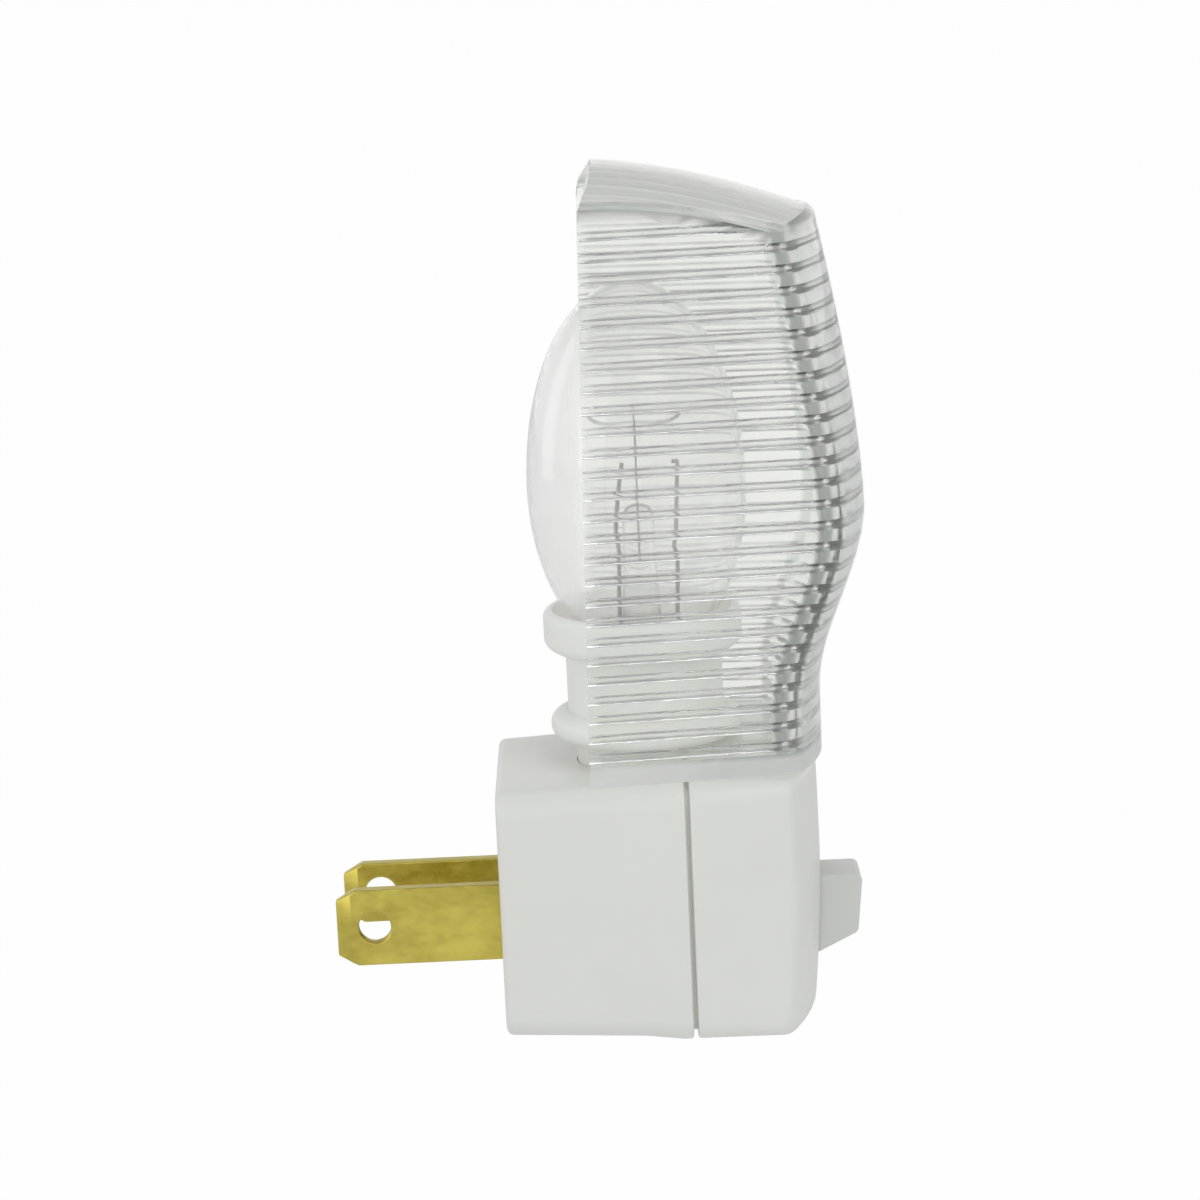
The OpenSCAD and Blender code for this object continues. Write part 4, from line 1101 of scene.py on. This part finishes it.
WHITE = (0.78, 0.785, 0.74)
MATS = {
    "housing_white": plastic("housing_white", WHITE, 0.34),
    "socket_white": plastic("socket_white", (0.84, 0.845, 0.80), 0.42),
    "switch_white": plastic("switch_white", (0.69, 0.695, 0.66), 0.42),
    "clear_plastic": clear("clear_plastic", (0.955, 0.957, 0.943), (0.93, 0.932, 0.91), 1.49,
                           0.02, 0.012, 0.0, ((0.80, 0.825, 0.805), 120.0)),
    "lamp_glass": clear("lamp_glass", (0.985, 0.985, 0.98), (0.94, 0.94, 0.93), 1.5, 0.0, 0.03,
                        0.12),
    "plug_brass": metal("plug_brass", (0.69, 0.585, 0.125), (0.47, 0.385, 0.075), 0.34,
                        (1.0, 0.5, 1.0), 0.35),
    "contact_brass": metal("contact_brass", (0.80, 0.62, 0.28), (0.55, 0.40, 0.16), 0.30,
                           (1.0, 0.2, 1.0)),
    "lamp_brass": metal("lamp_brass", (0.84, 0.70, 0.36), (0.62, 0.48, 0.22), 0.22,
                        (1.0, 1.0, 0.2)),
    "rivet_steel": metal("rivet_steel", (0.70, 0.70, 0.71), (0.48, 0.48, 0.50), 0.3,
                         (0.3, 1.0, 1.0)),
    "spring_steel": metal("spring_steel", (0.55, 0.56, 0.60), (0.36, 0.37, 0.41), 0.28,
                          (1.0, 0.2, 1.0)),
    "lamp_wire": metal("lamp_wire", (0.34, 0.33, 0.32), (0.18, 0.175, 0.17), 0.35,
                       (1.0, 1.0, 0.3)),
    "tungsten": metal("tungsten", (0.58, 0.58, 0.59), (0.42, 0.42, 0.43), 0.45,
                      (1.0, 1.0, 1.0)),
    "solder": metal("solder", (0.72, 0.72, 0.73), (0.50, 0.50, 0.52), 0.34, (1.0, 1.0, 1.0)),
    "lamp_insulator": plastic("lamp_insulator", (0.020, 0.020, 0.024), 0.18, 0.3),
    "fibre_board": plastic("fibre_board", (0.30, 0.19, 0.11), 0.7, 0.25),
}


def dress(piece, slot):
    """Gives a piece the one material of its slot."""
    piece.data.materials.clear()
    piece.data.materials.append(MATS[slot])


# ---------------------------------------------------------------- build

make_shade()
make_rear()
make_lip()
make_cover()
make_socket()
make_glass()
make_stem()
make_thread("lamp_cap", "lamp", "lamp_brass", "bulb_shell")
make_wires()
make_lever()
for blade in ("neutral_blade", "hot_blade"):
    softened(blade, "base", "plug_brass", BLADE_EDGE, 2, HOLES)

slots = {s["node"]: s["material_slot"] for s in frame["record"]["subparts"]}
for name, node in frame["nodes"].items():
    for i in range(max(1, len(node.material_slots))):
        if node.material_slots:
            node.material_slots[i].link = "OBJECT"
            node.material_slots[i].material = MATS[slots[name]]
for piece in bpy.data.objects:
    if piece.type == "MESH" and "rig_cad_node" not in piece and "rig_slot" in piece:
        dress(piece, piece["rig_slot"])


# ---------------------------------------------------------------- floor, light and camera

# The clear pieces let the light through to what they cover
for name in ("shade_moulding", "lamp_envelope", "lamp_stem"):
    bpy.data.objects[name].visible_shadow = False
    bpy.data.objects[name].visible_diffuse = False


def make_floor():
    """White paper below the part, which glows for the camera and through clear pieces."""
    bm = bmesh.new()
    size, z, glowing = 3.0, -0.075, 0.97
    lines = [[Vector((x, y, z)) for x in (-size, size)] for y in (-size, size)]
    grid(bm, lines)
    floor = new_object("floor", new_mesh("floor", bm))
    mat, tree, shader = material("floor_paper")
    shader.inputs["Base Color"].default_value = (0.93, 0.93, 0.93, 1.0)
    shader.inputs["Roughness"].default_value = 0.9
    path = tree.nodes.new("ShaderNodeLightPath")
    seen = maths(tree, "MAXIMUM", path.outputs["Is Camera Ray"],
                 path.outputs["Is Transmission Ray"])
    glow = tree.nodes.new("ShaderNodeEmission")
    glow.inputs["Color"].default_value = (1.0, 1.0, 1.0, 1.0)
    mix = tree.nodes.new("ShaderNodeMixShader")
    part = maths(tree, "MULTIPLY", seen.outputs[0], glowing)
    tree.links.new(part.outputs[0], mix.inputs[0])
    tree.links.new(shader.outputs["BSDF"], mix.inputs[1])
    tree.links.new(glow.outputs["Emission"], mix.inputs[2])
    out = output_of(tree)
    tree.links.new(mix.outputs["Shader"], out.inputs["Surface"])
    floor.data.materials.append(mat)


def make_world():
    """Near-white for the camera, and soft bands of light for gloss and clear pieces."""
    world = bpy.data.worlds.new("studio")
    bpy.context.scene.world = world
    world.use_nodes = True
    tree = world.node_tree
    tree.nodes.clear()
    out = tree.nodes.new("ShaderNodeOutputWorld")
    coord = tree.nodes.new("ShaderNodeTexCoord")
    split = tree.nodes.new("ShaderNodeSeparateXYZ")
    tree.links.new(coord.outputs["Generated"], split.inputs["Vector"])
    height = ramp(tree, spread(tree, split.outputs["Z"], 0.0, 1.0, -1.0, 1.0).outputs["Result"], [
        (0.0, (0.45, 0.45, 0.46)), (0.36, (0.65, 0.65, 0.66)), (0.46, (1.0, 1.0, 1.0)),
        (0.60, (1.0, 1.0, 1.0)), (0.74, (0.45, 0.45, 0.46)), (1.0, (0.55, 0.55, 0.56))])
    light = tree.nodes.new("ShaderNodeBackground")
    light.inputs["Color"].default_value = (0.98, 0.99, 1.0, 1.0)
    light.inputs["Strength"].default_value = 0.62
    seen = tree.nodes.new("ShaderNodeBackground")
    seen.inputs["Color"].default_value = (0.986, 0.986, 0.986, 1.0)
    clearest = tree.nodes.new("ShaderNodeBackground")
    tree.links.new(height.outputs["Color"], clearest.inputs["Color"])
    path = tree.nodes.new("ShaderNodeLightPath")
    either = maths(tree, "MAXIMUM", path.outputs["Is Glossy Ray"],
                   path.outputs["Is Transmission Ray"])
    bent = tree.nodes.new("ShaderNodeMixShader")
    tree.links.new(either.outputs[0], bent.inputs[0])
    tree.links.new(light.outputs[0], bent.inputs[1])
    tree.links.new(clearest.outputs[0], bent.inputs[2])
    mix = tree.nodes.new("ShaderNodeMixShader")
    tree.links.new(path.outputs["Is Camera Ray"], mix.inputs[0])
    tree.links.new(bent.outputs[0], mix.inputs[1])
    tree.links.new(seen.outputs[0], mix.inputs[2])
    tree.links.new(mix.outputs[0], out.inputs["Surface"])


def area_light(name, place, target, size, power):
    """A rectangular lamp at a place, in metres, that faces a target."""
    data = bpy.data.lights.new(name, "AREA")
    data.shape = "RECTANGLE"
    data.size, data.size_y = size
    data.energy = power
    lamp = new_object(name, data)
    lamp.location = place
    lamp.rotation_euler = (Vector(target) - Vector(place)).to_track_quat("-Z", "Y").to_euler()


def make_camera():
    """Camera fitted to the plug's known sizes: looks along +X, a little down."""
    distance, focal, photo_width, sensor = 0.370, 3626.06, 1200.0, 36.0
    yaw, pitch, roll = -0.0004, 0.2051, 0.0457
    target = Vector((0.0, -0.0114, 0.03154))
    forward = Vector((math.cos(yaw) * math.cos(pitch), -math.sin(yaw) * math.cos(pitch),
                      -math.sin(pitch)))
    right0 = Vector((-math.sin(yaw), -math.cos(yaw), 0.0))
    up0 = right0.cross(forward)
    right = right0 * math.cos(roll) - up0 * math.sin(roll)
    up = right0 * math.sin(roll) + up0 * math.cos(roll)
    data = bpy.data.cameras.new("camera")
    data.sensor_fit = "HORIZONTAL"
    data.sensor_width = sensor
    data.lens = focal / photo_width * sensor
    data.clip_start = 0.01
    data.clip_end = 20.0
    cam = new_object("camera", data)
    turn = Matrix((right, up, -forward)).transposed().to_4x4()
    cam.matrix_world = Matrix.Translation(target - forward * distance) @ turn
    bpy.context.scene.camera = cam


make_floor()
make_world()
area_light("key", (-0.9, -0.5, 1.0), (0, -0.015, 0.03), (0.9, 0.9), 4.2)
area_light("fill", (-0.8, 0.8, 0.4), (0, -0.015, 0.03), (0.8, 0.8), 1.6)
area_light("strip", (0.3, 0.95, 0.12), (0, -0.015, 0.04), (0.36, 1.0), 0.9)
make_camera()
bpy.context.scene.view_settings.view_transform = "Standard"

bpy.context.view_layer.update()
